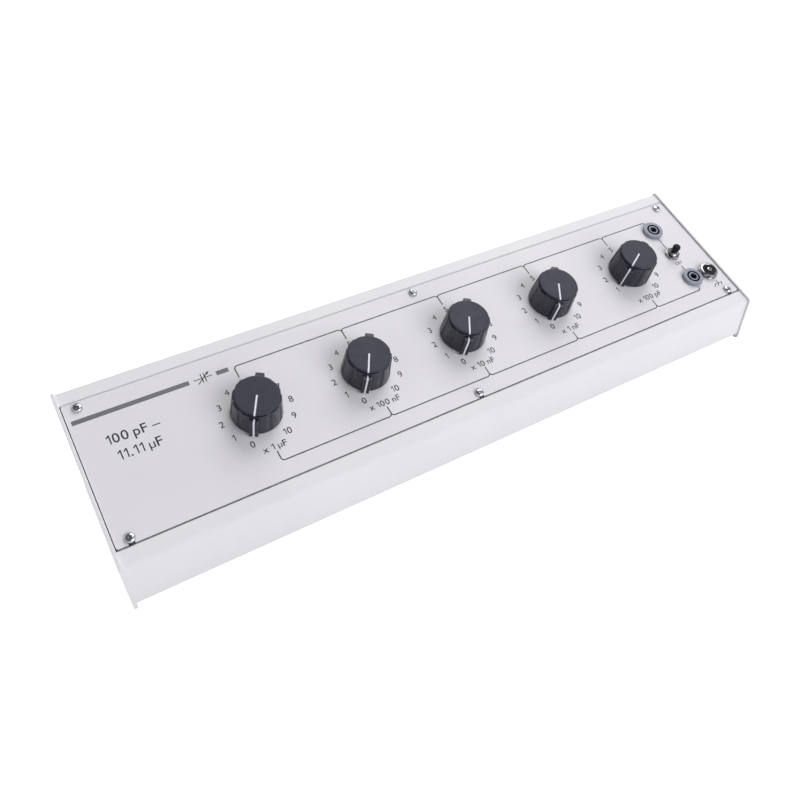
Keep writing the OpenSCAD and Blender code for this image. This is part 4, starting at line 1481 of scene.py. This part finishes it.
@dataclass
class Toggle:
    """The toggle switch's nut, threaded bush, lever and sleeve.

    Attributes:
        plane: The panel's top face.
        nut_af: Width of the nut across its flats.
        nut_t: Thickness of the nut.
        bush_r: Radius of the bush.
        bush_h: Height of the bush.
        thread: Pitch of the bush's thread.
        ball_r: Radius of the lever's ball.
        ball_h: Height of the ball's middle.
        rod_r: Radius of the lever's rod.
        tail_r: Radius of the lever's tail.
        tail_reach: Reach of the tail below the panel's top.
        sleeve_r: Radius of the sleeve.
        sleeve_start: Start of the sleeve.
        sleeve_end: End of the sleeve.
    """

    plane: PanelPlane
    nut_af: float = 9.6
    nut_t: float = 2.2
    bush_r: float = 3.1
    bush_h: float = 3.4
    thread: float = 0.4
    ball_r: float = 2.0
    ball_h: float = 1.0
    rod_r: float = 1.2
    tail_r: float = 0.84
    tail_reach: float = 6.0
    sleeve_r: float = 2.75
    sleeve_start: float = 4.7
    sleeve_end: float = 9.2

    def build(self) -> None:
        """Model the pieces and set them on the panel."""
        place = self.plane.place(self.plane.socket_x)
        for piece, body, finish, slot, node in (
            (self._nut(), Body.CASE, NICKEL, Slot.CHROME, "toggle_nut"),
            (self._bush(), Body.CASE, TURNED_NICKEL, Slot.CHROME, "toggle_bush"),
            (self._lever(), Body.LEVER, TURNED_NICKEL, Slot.CHROME, "toggle_lever"),
            (self._sleeve(), Body.LEVER, BLACK_SKIN, Slot.BLACK, "toggle_sleeve"),
        ):
            Bench.stand(piece, place)
            mount(piece, body, finish, slot, [node])

    def _nut(self) -> Piece:
        """Model the hexagon nut with bevelled corners.

        Returns:
            The nut, standing on the bench.
        """
        corner_r, t = self.nut_af / math.sqrt(3), self.nut_t
        nut = Bench.turned("bevelled_toggle_nut", [(corner_r, 0.0), (corner_r, t)], 6)
        Bench.bevel(nut, 0.12, 2, lambda a, b: abs(a.z - b.z) > 1)
        dome = Bench.turned("nut_tool", [(self.nut_af / 2 + 0.1, -0.1), (corner_r + 0.1, 0.3),
                                         (corner_r + 0.1, t - 0.7), (self.nut_af / 2, t - 0.1),
                                         (self.nut_af / 2 - 0.3, t + 0.02)], 72)
        Bench.combine(nut, dome, "INTERSECT")
        drill = Bench.turned("nut_drill", [(self.bush_r + 0.03, -1), (self.bush_r + 0.03, t - 0.3),
                                           (self.bush_r + 0.5, t + 0.2)], 64)
        Bench.combine(nut, drill, "DIFFERENCE")
        Bench.polish(nut, 30)
        return nut

    def _bush(self) -> Piece:
        """Turn the threaded bush with its dished mouth, over the plate that carries it.

        Returns:
            The bush.
        """
        r, deep = self.bush_r, 0.5 * self.thread
        bore = self.ball_r + 0.05
        ridges = []
        for k in range(3):
            z = self.nut_t - 0.2 + k * self.thread
            ridges += [(r, z), (r - deep, z + 0.5 * self.thread)]
        bush = Bench.turned("threaded_toggle_bush", [
            (bore, -1.5), (r, -1.5), *ridges, (r, self.bush_h - 0.25), (r - 0.12, self.bush_h - 0.06),
            (r - 0.25, self.bush_h), (r - 0.36, self.bush_h - 0.04), (2.15, 2.25), (bore, 2.2)],
            72, ring=True)
        plate = Bench.block("toggle_plate", (-4.0, -6.5, -3.0), (4.0, 6.5, -1.5))
        drill = Bench.turned("plate_drill", [(bore, -4), (bore, 0)], 48)
        Bench.combine(plate, drill, "DIFFERENCE")
        Bench.soften(plate, 0.15)
        whole = Bench.join([bush, plate], "threaded_toggle_bush")
        Bench.polish(whole)
        return whole

    def _lever(self) -> Piece:
        """Turn the lever with its ball and tail.

        Returns:
            The lever.
        """
        low = -math.acos(self.tail_r / self.ball_r)
        high = math.acos(self.rod_r / self.ball_r)
        steps = 12
        ball = []
        for k in range(steps + 1):
            angle = low + (high - low) * k / steps
            ball.append((self.ball_r * math.cos(angle), self.ball_h + self.ball_r * math.sin(angle)))
        rod_end = self.sleeve_end - self.sleeve_r
        lever = Bench.turned("turned_toggle_lever", [
            (self.tail_r - 0.2, -self.tail_reach), (self.tail_r, 0.2 - self.tail_reach), *ball,
            (self.rod_r, rod_end - 0.2), (self.rod_r - 0.2, rod_end)], 48)
        Bench.polish(lever)
        return lever

    def _sleeve(self) -> Piece:
        """Turn the lever's sleeve with its blind hole.

        Returns:
            The sleeve.
        """
        r, start, end = self.sleeve_r, self.sleeve_start, self.sleeve_end
        hole_r, hole_end = self.rod_r + 0.03, self.sleeve_end - self.sleeve_r + 0.03
        round_r = 0.45 * r
        crown = []
        for k in range(1, 8):
            angle = math.pi / 2 * k / 8
            crown.append((r - round_r + round_r * math.cos(angle), end - round_r + round_r * math.sin(angle)))
        sleeve = Bench.turned("moulded_toggle_sleeve", [
            (hole_r, hole_end), (hole_r, start + 0.1), (hole_r + 0.15, start), (0.84 * r, start),
            (0.9 * r, start + 0.2), (r, end - round_r), *crown, (0.5 * r, end)], 64)
        Bench.polish(sleeve)
        return sleeve


@dataclass
class EarthTerminal:
    """The earth terminal: a notched bright ring, a black insert and a drilled pin.

    Attributes:
        plane: The panel's top face.
        flange_r: Radius of the ring's flange.
        flange_t: Thickness of the flange.
        ring_r: Radius of the ring.
        ring_h: Height of the ring.
        notch_w: Width of the wrench notches.
        insert_r: Radius of the insert.
        stem_r: Radius of the insert's stem.
        stem_l: Length of the stem below the panel's top.
        pin_r: Radius of the pin.
        pin_l: Length of the pin below the panel's top.
        hole_r: Radius of the pin's hole.
    """

    plane: PanelPlane
    flange_r: float = 7.0
    flange_t: float = 1.0
    ring_r: float = 6.4
    ring_h: float = 3.4
    notch_w: float = 2.2
    insert_r: float = 4.6
    stem_r: float = 3.9
    stem_l: float = 6.5
    pin_r: float = 1.7
    pin_l: float = 11.5
    hole_r: float = 0.8

    def build(self) -> None:
        """Turn the pieces and set them on the panel."""
        place = self.plane.place(self.plane.earth_x, -self.plane.socket_y)
        for piece, finish, slot, node in (
            (self._ring(), TURNED_NICKEL, Slot.CHROME, "earth_ring"),
            (self._insert(), BLACK_SKIN, Slot.BLACK, "earth_insert"),
            (self._pin(), SCREW_ZINC, Slot.CHROME, "earth_pin"),
        ):
            Bench.stand(piece, place)
            mount(piece, Body.CASE, finish, slot, [node])

    def _ring(self) -> Piece:
        """Turn the ring and mill its two notches.

        Returns:
            The ring.
        """
        inner, h = self.insert_r + 0.03, self.ring_h
        ring = Bench.turned("notched_earth_ring", [
            (inner, 0.0), (self.flange_r - 0.1, 0.0), (self.flange_r, 0.1),
            (self.flange_r, self.flange_t - 0.2), (self.flange_r - 0.2, self.flange_t),
            (self.ring_r, self.flange_t), (self.ring_r, h - 0.5), (self.ring_r - 0.15, h - 0.2),
            (self.ring_r - 0.5, h), (inner + 0.35, h), (inner, h - 0.3)], 96, ring=True)
        for turn in (45, 225):
            mill = Bench.block("notch_mill", (inner + 0.8, -self.notch_w / 2, self.flange_t),
                               (self.flange_r + 2, self.notch_w / 2, h + 1))
            Bench.stand(mill, Matrix.Rotation(math.radians(turn), 4, "Z"))
            Bench.combine(ring, mill, "DIFFERENCE")
        Bench.polish(ring, 30)
        return ring

    def _insert(self) -> Piece:
        """Turn the black insert with its stem.

        Returns:
            The insert.
        """
        top, bore = self.ring_h - 0.25, self.pin_r + 0.03
        insert = Bench.turned("moulded_earth_insert", [
            (bore, -self.stem_l), (self.stem_r, -self.stem_l), (self.stem_r, 0.0), (self.insert_r, 0.0),
            (self.insert_r, top - 0.15), (self.insert_r - 0.15, top), (bore + 0.5, top), (bore, top - 0.3)],
            72, ring=True)
        Bench.polish(insert)
        return insert

    def _pin(self) -> Piece:
        """Turn the pin and drill its end.

        Returns:
            The pin.
        """
        bevel = 0.3 * self.pin_r
        top = self.ring_h + bevel
        pin = Bench.turned("drilled_earth_pin", [
            (self.pin_r - 0.2, -self.pin_l), (self.pin_r, 0.2 - self.pin_l), (self.pin_r, top - bevel),
            (self.pin_r - 0.3 * bevel, top - 0.3 * bevel), (self.pin_r - bevel, top),
            (self.hole_r + 0.12, top), (self.hole_r, top - 0.15), (self.hole_r, 0.6), (0.1, 0.1)], 48)
        Bench.polish(pin)
        return pin


@dataclass(frozen=True)
class Straight:
    """A straight stroke of a pen.

    Attributes:
        length: Its length.
    """

    length: float


@dataclass(frozen=True)
class Turn:
    """A round stroke of a pen.

    Attributes:
        radius: Its radius.
        degrees: Its angle, to the left if positive.
    """

    radius: float
    degrees: float


@dataclass(frozen=True)
class Pen:
    """A flat pen that draws on the panel.

    Attributes:
        plane: The panel's top face.
        width: Width of its stroke.
        ink: Thickness of the ink.
        bold: How far type is thickened, as a share of its capitals.
        stem: Width of a stem of type, as a share of its capitals.
        gap: Gap between signs, as a share of their capitals.
        space: Width of a space, as a share of the capitals.
        plain: Signs that stay as thin as the type is.
        one_x: Place of a one's stem, as a share of the capitals.
        flag_l: Length of a one's flag, as a share of the capitals.
        flag_turn: Slope of that flag in degrees.
        head_half: Half of an arrow head's width, as a share of its length.
    """

    plane: PanelPlane
    width: float
    ink: float = 0.03
    bold: float = 0.012
    stem: float = 0.125
    gap: float = 0.16
    space: float = 0.3
    plain: str = "4µ"
    one_x: float = 0.24
    flag_l: float = 0.36
    flag_turn: float = 42.0
    head_half: float = 0.4

    def draw(self, x: float, y: float, heading: float, *strokes: Straight | Turn) -> Piece:
        """Draw one line.

        Args:
            x: Start along the box.
            y: Start up the slope.
            heading: Direction of the first stroke, in degrees from +X.
            *strokes: The strokes, a straight one first.

        Returns:
            The line.
        """
        at, aim = Vector((strokes[0].length, 0, 0)), 0.0
        line = Bench.block("pen_line", (0, -self.width / 2, 0), (at.x, self.width / 2, self.ink))
        Bench.edit(line, "FACE")
        Bench.pick_faces(line, lambda middle, normal: normal.x > 0.9)
        for stroke in strokes[1:]:
            along_aim = Vector((math.cos(aim), math.sin(aim), 0))
            if isinstance(stroke, Straight):
                step = along_aim * stroke.length
                bpy.ops.mesh.extrude_region_move(TRANSFORM_OT_translate={"value": step * MM})
                at += step
            else:
                angle = math.radians(stroke.degrees)
                to_left = Vector((-along_aim.y, along_aim.x, 0))
                centre = at + to_left * math.copysign(stroke.radius, angle)
                bpy.ops.mesh.spin(steps=8, angle=-angle, center=centre * MM, axis=(0, 0, 1))
                at = centre + Matrix.Rotation(angle, 3, "Z") @ (at - centre)
                aim += angle
        bpy.ops.mesh.select_all(action="SELECT")
        bpy.ops.mesh.normals_make_consistent(inside=False)
        Bench.stand(line, self.plane.place(x, y, turn=heading))
        return line

    def arrow_head(self, x: float, y: float, heading: float, length: float) -> Piece:
        """Draw a filled arrow head.

        Args:
            x: Place of its tip along the box.
            y: Place of its tip up the slope.
            heading: Direction that it points to, in degrees from +X.
            length: Its length.

        Returns:
            The arrow head.
        """
        half = self.head_half * length
        head = Bench.block("arrow_head", (-length, -half, 0), (0, half, self.ink))
        Bench.edit(head, "VERT")
        Bench.pick_points(head, lambda p: p.x > -0.01)
        bpy.ops.transform.resize(value=(1, 0.05, 1), center_override=(0, 0, 0))
        Bench.stand(head, self.plane.place(x, y, turn=heading))
        return head

    def words(self, text: str, x: float, y: float, cap: float, width: float = 0.0) -> Piece:
        """Set a line of type, centred on a place.

        Args:
            text: The words.
            x: Middle along the box.
            y: Middle of the capitals up the slope.
            cap: Height of the capitals.
            width: Width of the line, or 0 for the type's own.

        Returns:
            The line of type.
        """
        signs, reach = [], 0.0
        for character in text:
            if character == " ":
                reach += self.space * cap
                continue
            sign = self._one(cap) if character == "1" else self._sign(character, cap)
            xs = [point.co.x for point in sign.data.vertices]
            Bench.stand(sign, Matrix.Translation((reach * MM - min(xs), 0, 0)))
            reach += (max(xs) - min(xs)) / MM + self.gap * cap
            signs.append(sign)
        line = Bench.join(signs, "type_line")
        own = reach - self.gap * cap
        line.scale.x = width / own if width else 1.0
        line.location = (-line.scale.x * own / 2 * MM, -cap / 2 * MM, 0)
        Bench.stand(line, self.plane.place(x, y))
        return line

    def _sign(self, character: str, cap: float) -> Piece:
        """Make one letter or number of type.

        Args:
            character: The letter or number.
            cap: Height of the capitals.

        Returns:
            The sign as a mesh, on the line y = 0.
        """
        Bench.begin()
        bpy.ops.object.text_add(location=(0, 0, self.ink / 2 * MM))
        sign = bpy.context.object
        sign.data.body = character
        sign.data.size = cap / CAPITALS * MM
        sign.data.offset = 0 if character in self.plain else self.bold * cap * MM
        sign.data.extrude = self.ink / 2 * MM
        sign.data.resolution_u = 6
        bpy.ops.object.convert(target="MESH")
        bpy.ops.object.transform_apply(location=True, rotation=True, scale=True)
        return sign

    def _one(self, cap: float) -> Piece:
        """Draw a number one with a flag, which the type's own lacks.

        Args:
            cap: Height of the capitals.

        Returns:
            The number, on the line y = 0.
        """
        left, stroke = self.one_x * cap, self.stem * cap
        stem = Bench.block("one_stem", (left, 0, 0), (left + stroke, cap, self.ink))
        flag = Bench.block("one_flag", (-self.flag_l * cap, -stroke, 0), (0, 0, self.ink))
        corner = Matrix.Translation((left * MM, cap * MM, 0))
        Bench.stand(flag, corner @ Matrix.Rotation(math.radians(self.flag_turn), 4, "Z"))
        Bench.combine(stem, flag, "UNION")
        return stem


@dataclass
class PanelPrint:
    """What is printed on the panel: scales, multipliers, circuit lines and signs.

    Attributes:
        plane: The panel's top face.
        scale_r: Radius of the dials' scales.
        digit_h: Height of the scales' numbers.
        top_number: Number at the top of a scale.
        last_number: Last number of a scale.
        multipliers: Multiplier and its width under each dial.
        multiplier_y: Middle of the multipliers.
        multiplier_h: Height of the multipliers.
        rear_bus: Place of the rear circuit line.
        front_bus: Place of the front circuit line.
        rear_tap: Where the rear branches end, above the knobs.
        front_tap: Where the front branches end, below the multipliers.
        bus_inset: How far the circuit lines end before the middle of the sockets.
        bus_ends: Length of the rear and the front line's last stretch at the sockets.
        switch_inset: How far the toggle's lines lie beside the middle of the sockets.
        switch_lines: Start and length of each line between the sockets and the toggle.
        corner_r: Radius of a line's first corner.
        late_r: Radius of its last corner, so that it doesn't coincide with the next line's first one.
        line_w: Width of the lines.
        sign_w: Width of the signs' lines.
        capacitor_at: Middle of the capacitor's sign.
        capacitor_lines: Start from that middle, heading and length of each of its lines.
        arrow_from: Start of its arrow.
        arrow_to: Tip of its arrow.
        arrow_l: Length of the arrow's line.
        arrow_head_l: Length of the arrow's head.
        earth_at: Middle of the earth sign's bar.
        earth_half: Half of the bar's length.
        earth_stem: Length of the stem over the bar.
        earth_leg: Length and heading of the legs under it.
        earth_inset: How far the outer legs lie inside the bar's ends.
        switch_word: Word at the toggle, its middle up the slope and its height.
        range_x: Middle of the range.
        range_h: Height of the range.
        range_lines: The range's lines and their places up the slope.
        stripe_y: Middle of the grey stripe.
        stripe_w: Width of the grey stripe.
        stripe_runs: Start and length of the stripe's two stretches.
    """

    plane: PanelPlane
    scale_r: float = 21.0
    digit_h: float = 4.0
    top_number: int = 5
    last_number: int = 10
    multipliers: tuple[tuple[str, float], ...] = (
        ("x 1 µF", 14.4), ("x 100 nF", 20.4), ("x 10 nF", 17.4), ("x 1 nF", 14.4), ("x 100 pF", 20.4))
    multiplier_y: float = -24.2
    multiplier_h: float = 3.8
    rear_bus: float = 32.9
    front_bus: float = -34.0
    rear_tap: float = 25.0
    front_tap: float = -27.3
    bus_inset: float = 0.8
    bus_ends: tuple[float, float] = (0.6, 2.0)
    switch_inset: float = 0.2
    switch_lines: tuple[tuple[float, float], ...] = ((17.0, 11.0), (-11.0, 5.2))
    corner_r: float = 2.0
    late_r: float = 2.15
    line_w: float = 0.7
    sign_w: float = 0.55
    capacitor_at: tuple[float, float] = (-145.0, 32.6)
    capacitor_lines: tuple[tuple[float, float, int, float], ...] = (
        (-5.8, 0.0, 0, 5.0), (0.8, 0.0, 0, 4.4), (-0.9, -3.0, 90, 6.1), (0.9, -3.0, 90, 6.1))
    arrow_from: tuple[float, float] = (-4.0, -3.2)
    arrow_to: tuple[float, float] = (4.2, 3.4)
    arrow_l: float = 9.6
    arrow_head_l: float = 2.2
    earth_at: tuple[float, float] = (211.5, -34.3)
    earth_half: float = 3.4
    earth_stem: float = 2.5
    earth_leg: tuple[float, int] = (2.6, -125)
    earth_inset: float = 0.2
    switch_word: tuple[str, float, float] = ("OFF", -8.2, 2.4)
    range_x: float = -191.7
    range_h: float = 5.8
    range_lines: tuple[tuple[str, float], ...] = (("100 pF –", 15.4), ("11.11 µF", 4.5))
    stripe_y: float = 32.55
    stripe_w: float = 2.9
    stripe_runs: tuple[tuple[float, float], ...] = ((-219.25, 65.65), (-137.3, 7.3))

    def build(self) -> None:
        """Print everything."""
        pen = Pen(self.plane, self.line_w)
        for i, x in enumerate(self.plane.dial_xs):
            self._put(self._dial(pen, i, x), f"dial_print_{i + 1}")
        self._put(self._circuit(pen), "circuit_print")
        self._put(self._signs(), "sign_print")
        ranges = [pen.words(text, self.range_x, y, self.range_h) for text, y in self.range_lines]
        self._put(ranges, "range_print")
        bar = Pen(self.plane, self.stripe_w)
        stripe = [bar.draw(start, self.stripe_y, 0, Straight(length)) for start, length in self.stripe_runs]
        self._put(stripe, "stripe_print", BAR_INK)

    @staticmethod
    def _put(pieces: Sequence[Piece], name: str, ink: Finish = PRINT_INK) -> None:
        """Join printed pieces and leave them on the case."""
        mount(Bench.join(pieces, name), Body.CASE, ink)

    def _dial(self, pen: Pen, i: int, x: float) -> list[Piece]:
        """Print a dial's scale and multiplier.

        Args:
            pen: The pen for type.
            i: Which dial.
            x: Its place along the box.

        Returns:
            The printed pieces.
        """
        lowest = 1 if i == len(DIALS) - 1 else 0
        pieces = []
        for number in range(lowest, self.last_number + 1):
            angle = math.radians(90 - DIAL_STEP * (number - self.top_number))
            digit_x, digit_y = x + self.scale_r * math.cos(angle), self.scale_r * math.sin(angle)
            pieces.append(pen.words(str(number), digit_x, digit_y, self.digit_h))
        text, width = self.multipliers[i]
        pieces.append(pen.words(text, x, self.multiplier_y, self.multiplier_h, width))
        return pieces

    def _circuit(self, pen: Pen) -> list[Piece]:
        """Draw the lines that join the dials, the sockets and the toggle.

        Args:
            pen: The pen for lines.

        Returns:
            The lines.
        """
        xs, r = self.plane.dial_xs, self.corner_r
        rise = self.rear_bus - self.rear_tap - r, self.front_tap - self.front_bus - r
        lines = []
        for start, end in zip(xs, xs[1:]):
            lines += self._pair(pen, start, end, self.late_r, rise, (rise[0] / 2, rise[1] / 2))
        lines += self._pair(pen, xs[-1], self.plane.socket_x - self.bus_inset, r, rise, self.bus_ends)
        for y, length in self.switch_lines:
            lines.append(pen.draw(self.plane.socket_x + self.switch_inset, y, -90, Straight(length)))
        return lines

    def _pair(self, pen: Pen, start: float, end: float, late_r: float, rise: tuple[float, float],
              ends: tuple[float, float]) -> list[Piece]:
        """Draw the rear and the front line from a dial to what follows it.

        Args:
            pen: The pen for lines.
            start: Place of the dial.
            end: Where the lines end along the box.
            late_r: Radius of their last corners.
            rise: Length of the rear and the front line's first stretch.
            ends: Length of their last stretch.

        Returns:
            The two lines.
        """
        run = Straight(end - start - self.corner_r - late_r)
        return [pen.draw(start, tap, 90 * way, Straight(first), Turn(self.corner_r, -90 * way), run,
                         Turn(late_r, -90 * way), Straight(last))
                for way, tap, first, last in zip((1, -1), (self.rear_tap, self.front_tap), rise, ends)]

    def _signs(self) -> list[Piece]:
        """Draw the variable capacitor's sign, the earth sign and the switch's word.

        Returns:
            The printed pieces.
        """
        thin = Pen(self.plane, self.sign_w)
        (x, y), (from_x, from_y), (to_x, to_y) = self.capacitor_at, self.arrow_from, self.arrow_to
        slope = math.degrees(math.atan2(to_y - from_y, to_x - from_x))
        pieces = [thin.draw(x + dx, y + dy, heading, Straight(length))
                  for dx, dy, heading, length in self.capacitor_lines]
        pieces.append(thin.draw(x + from_x, y + from_y, slope, Straight(self.arrow_l)))
        pieces.append(thin.arrow_head(x + to_x, y + to_y, slope, self.arrow_head_l))
        (earth_x, bar_y), half, stem = self.earth_at, self.earth_half, self.earth_stem
        pieces.append(thin.draw(earth_x, bar_y + stem, -90, Straight(stem)))
        pieces.append(thin.draw(earth_x - half, bar_y, 0, Straight(2 * half)))
        leg, heading = self.earth_leg
        for offset in (self.earth_inset - half, 0.0, half - self.earth_inset):
            pieces.append(thin.draw(earth_x + offset, bar_y, heading, Straight(leg)))
        word, word_y, word_h = self.switch_word
        pieces.append(thin.words(word, self.plane.socket_x, word_y, word_h))
        return pieces


@dataclass(frozen=True)
class Lamp:
    """A square soft box.

    Attributes:
        name: Its name.
        at: Its place in metres.
        size: Its side in metres.
        power: Its power in watts.
        to: The point that it faces, in metres.
    """

    name: str
    at: tuple[float, float, float]
    size: float
    power: float
    to: tuple[float, float, float] = (0.0, 0.0, 0.03)

    def build(self) -> None:
        """Hang the lamp."""
        turn = (Vector(self.to) - Vector(self.at)).to_track_quat("-Z", "Y").to_euler()
        bpy.ops.object.light_add(type="AREA", location=self.at, rotation=turn)
        lamp = bpy.context.object
        lamp.name = self.name
        lamp.data.shape = "SQUARE"
        lamp.data.size = self.size
        lamp.data.energy = self.power


@dataclass
class Studio:
    """Floor, soft light and camera.

    Attributes:
        plane: The panel's top face.
        camera_at: Place of the camera from the panel's middle, in metres.
        camera_turn: Turn of the camera in degrees.
        lens: Focal length.
        sensor: Width of the sensor.
        floor_size: Side of the floor in metres.
        floor_level: Glow of the floor where it is seen.
        by_height: Room's light between two heights: the heights, and the light at each.
        by_side: Share of that light between left and right: the two places, and the share at each.
        lamps: The lamps.
    """

    plane: PanelPlane
    camera_at: tuple[float, float, float] = (-0.21690, -0.32095, 0.29276)
    camera_turn: tuple[float, float, float] = (48.500, 0.829, -30.544)
    lens: float = 34.688
    sensor: float = 36.0
    floor_size: float = 12.0
    floor_level: float = 0.74
    by_height: tuple[float, float, float, float] = (0.36, 0.86, 1.0, 0.14)
    by_side: tuple[float, float, float, float] = (-0.9, 0.5, 0.55, 0.93)
    lamps: tuple[Lamp, ...] = (
        Lamp("key_light", (1.0, 0.75, 1.9), 1.6, 29.0), Lamp("front_light", (0.7, -1.7, 0.95), 1.4, 19.0))

    def build(self) -> None:
        """Set the stage."""
        self._camera()
        self._floor()
        self._world()
        for lamp in self.lamps:
            lamp.build()

    def _camera(self) -> None:
        """Place the camera where the photograph was taken from."""
        place = self.plane.middle + Vector(self.camera_at)
        bpy.ops.object.camera_add(location=place, rotation=[math.radians(a) for a in self.camera_turn])
        camera = bpy.context.object
        camera.data.lens = self.lens
        camera.data.sensor_width = self.sensor
        camera.data.clip_start = 0.01
        bpy.context.scene.camera = camera

    def _floor(self) -> None:
        """Lay a pale floor that shows as white."""
        Bench.begin()
        bpy.ops.mesh.primitive_plane_add(size=self.floor_size)
        floor = bpy.context.object
        floor.name = "floor"
        material = bpy.data.materials.new("floor")
        material.use_nodes = True
        material.node_tree.nodes.clear()
        g = Graph(material.node_tree)
        out = g.add("ShaderNodeOutputMaterial")
        matt = g.add("ShaderNodeBsdfDiffuse", Color=(0.86, 0.86, 0.87, 1))
        glow = g.add("ShaderNodeEmission", Color=(1, 1, 1, 1))
        both = g.add("ShaderNodeAddShader")
        g.link(g.calc("MULTIPLY", self._seen_rays(g), self.floor_level), glow.inputs["Strength"])
        g.link(matt.outputs["BSDF"], both.inputs[0])
        g.link(glow.outputs["Emission"], both.inputs[1])
        g.link(both.outputs["Shader"], out.inputs["Surface"])
        floor.data.materials.append(material)

    @staticmethod
    def _seen_rays(g: Graph) -> bpy.types.NodeSocket:
        """Tell rays that show a surface from those that light others.

        Args:
            g: The node tree.

        Returns:
            A socket that is 1 for camera, glossy and transmission rays.
        """
        path = g.add("ShaderNodeLightPath")
        shown = g.calc("MAXIMUM", path.outputs["Is Camera Ray"], path.outputs["Is Glossy Ray"])
        return g.calc("MAXIMUM", shown, path.outputs["Is Transmission Ray"])

    def _world(self) -> None:
        """Light the room: white walls under a darker ceiling, and less light from the left."""
        scene = bpy.context.scene
        scene.view_settings.view_transform = "Standard"
        world = bpy.data.worlds.new("room")
        scene.world = world
        world.use_nodes = True
        world.node_tree.nodes.clear()
        g = Graph(world.node_tree)
        out = g.add("ShaderNodeOutputWorld")
        place = g.add("ShaderNodeTexCoord")
        split = g.add("ShaderNodeSeparateXYZ")
        level = g.add("ShaderNodeMapRange", **dict(zip(RAMP, self.by_height)))
        side = g.add("ShaderNodeMapRange", **dict(zip(RAMP, self.by_side)))
        path = g.add("ShaderNodeLightPath")
        light = g.add("ShaderNodeBackground", Color=(0.98, 0.98, 1.0, 1))
        g.link(place.outputs["Generated"], split.inputs["Vector"])
        g.link(split.outputs["Z"], level.inputs["Value"])
        g.link(split.outputs["X"], side.inputs["Value"])
        shown = g.calc("MAXIMUM", side.outputs["Result"], path.outputs["Is Camera Ray"])
        g.link(g.calc("MULTIPLY", level.outputs["Result"], shown), light.inputs["Strength"])
        g.link(light.outputs["Background"], out.inputs["Surface"])


CAD_FINISHES: dict[Finish, Slot] = {
    CASE_LACQUER: Slot.CASE,
    PANEL_LACQUER: Slot.PANEL,
    ZINC: Slot.ZINC,
    TINNED: Slot.TINNED,
    RUBBER: Slot.RUBBER,
    BOARD: Slot.BOARD,
    PHENOLIC: Slot.PHENOLIC,
    CAPACITOR: Slot.CAPACITOR,
    SOCKET_SKIN: Slot.SOCKET,
    DULL_NICKEL: Slot.CONTACT,
    NICKEL: Slot.CHROME,
    TOGGLE_CASE: Slot.TOGGLE_CASE,
    BLACK_SKIN: Slot.BLACK,
    KNOB_SKIN: Slot.KNOB,
    CAP_SKIN: Slot.KNOB_CAP,
    WHITE_FILL: Slot.MARK,
}


def dress_frame() -> None:
    """Give every CAD node the finish of its record slot."""
    finishes = {slot.value: finish for finish, slot in CAD_FINISHES.items()}
    for part in frame["record"]["subparts"]:
        node = frame["nodes"][part["node"]]
        node.data.materials.clear()
        node.data.materials.append(finishes[part["material_slot"]].material())


def main() -> None:
    """Build the studio and the pieces in order."""
    logging.basicConfig(level=logging.INFO, format="%(message)s")
    plane = PanelPlane.from_frame()
    Studio(plane).build()
    dress_frame()
    for assembly in (Walls(plane), EndPlates(plane), PanelPlate(plane), PanHeads(plane), Feet(), Knobs(plane),
                     Sockets(plane), Toggle(plane), EarthTerminal(plane), PanelPrint(plane)):
        assembly.build()


if __name__ == "__main__":
    main()
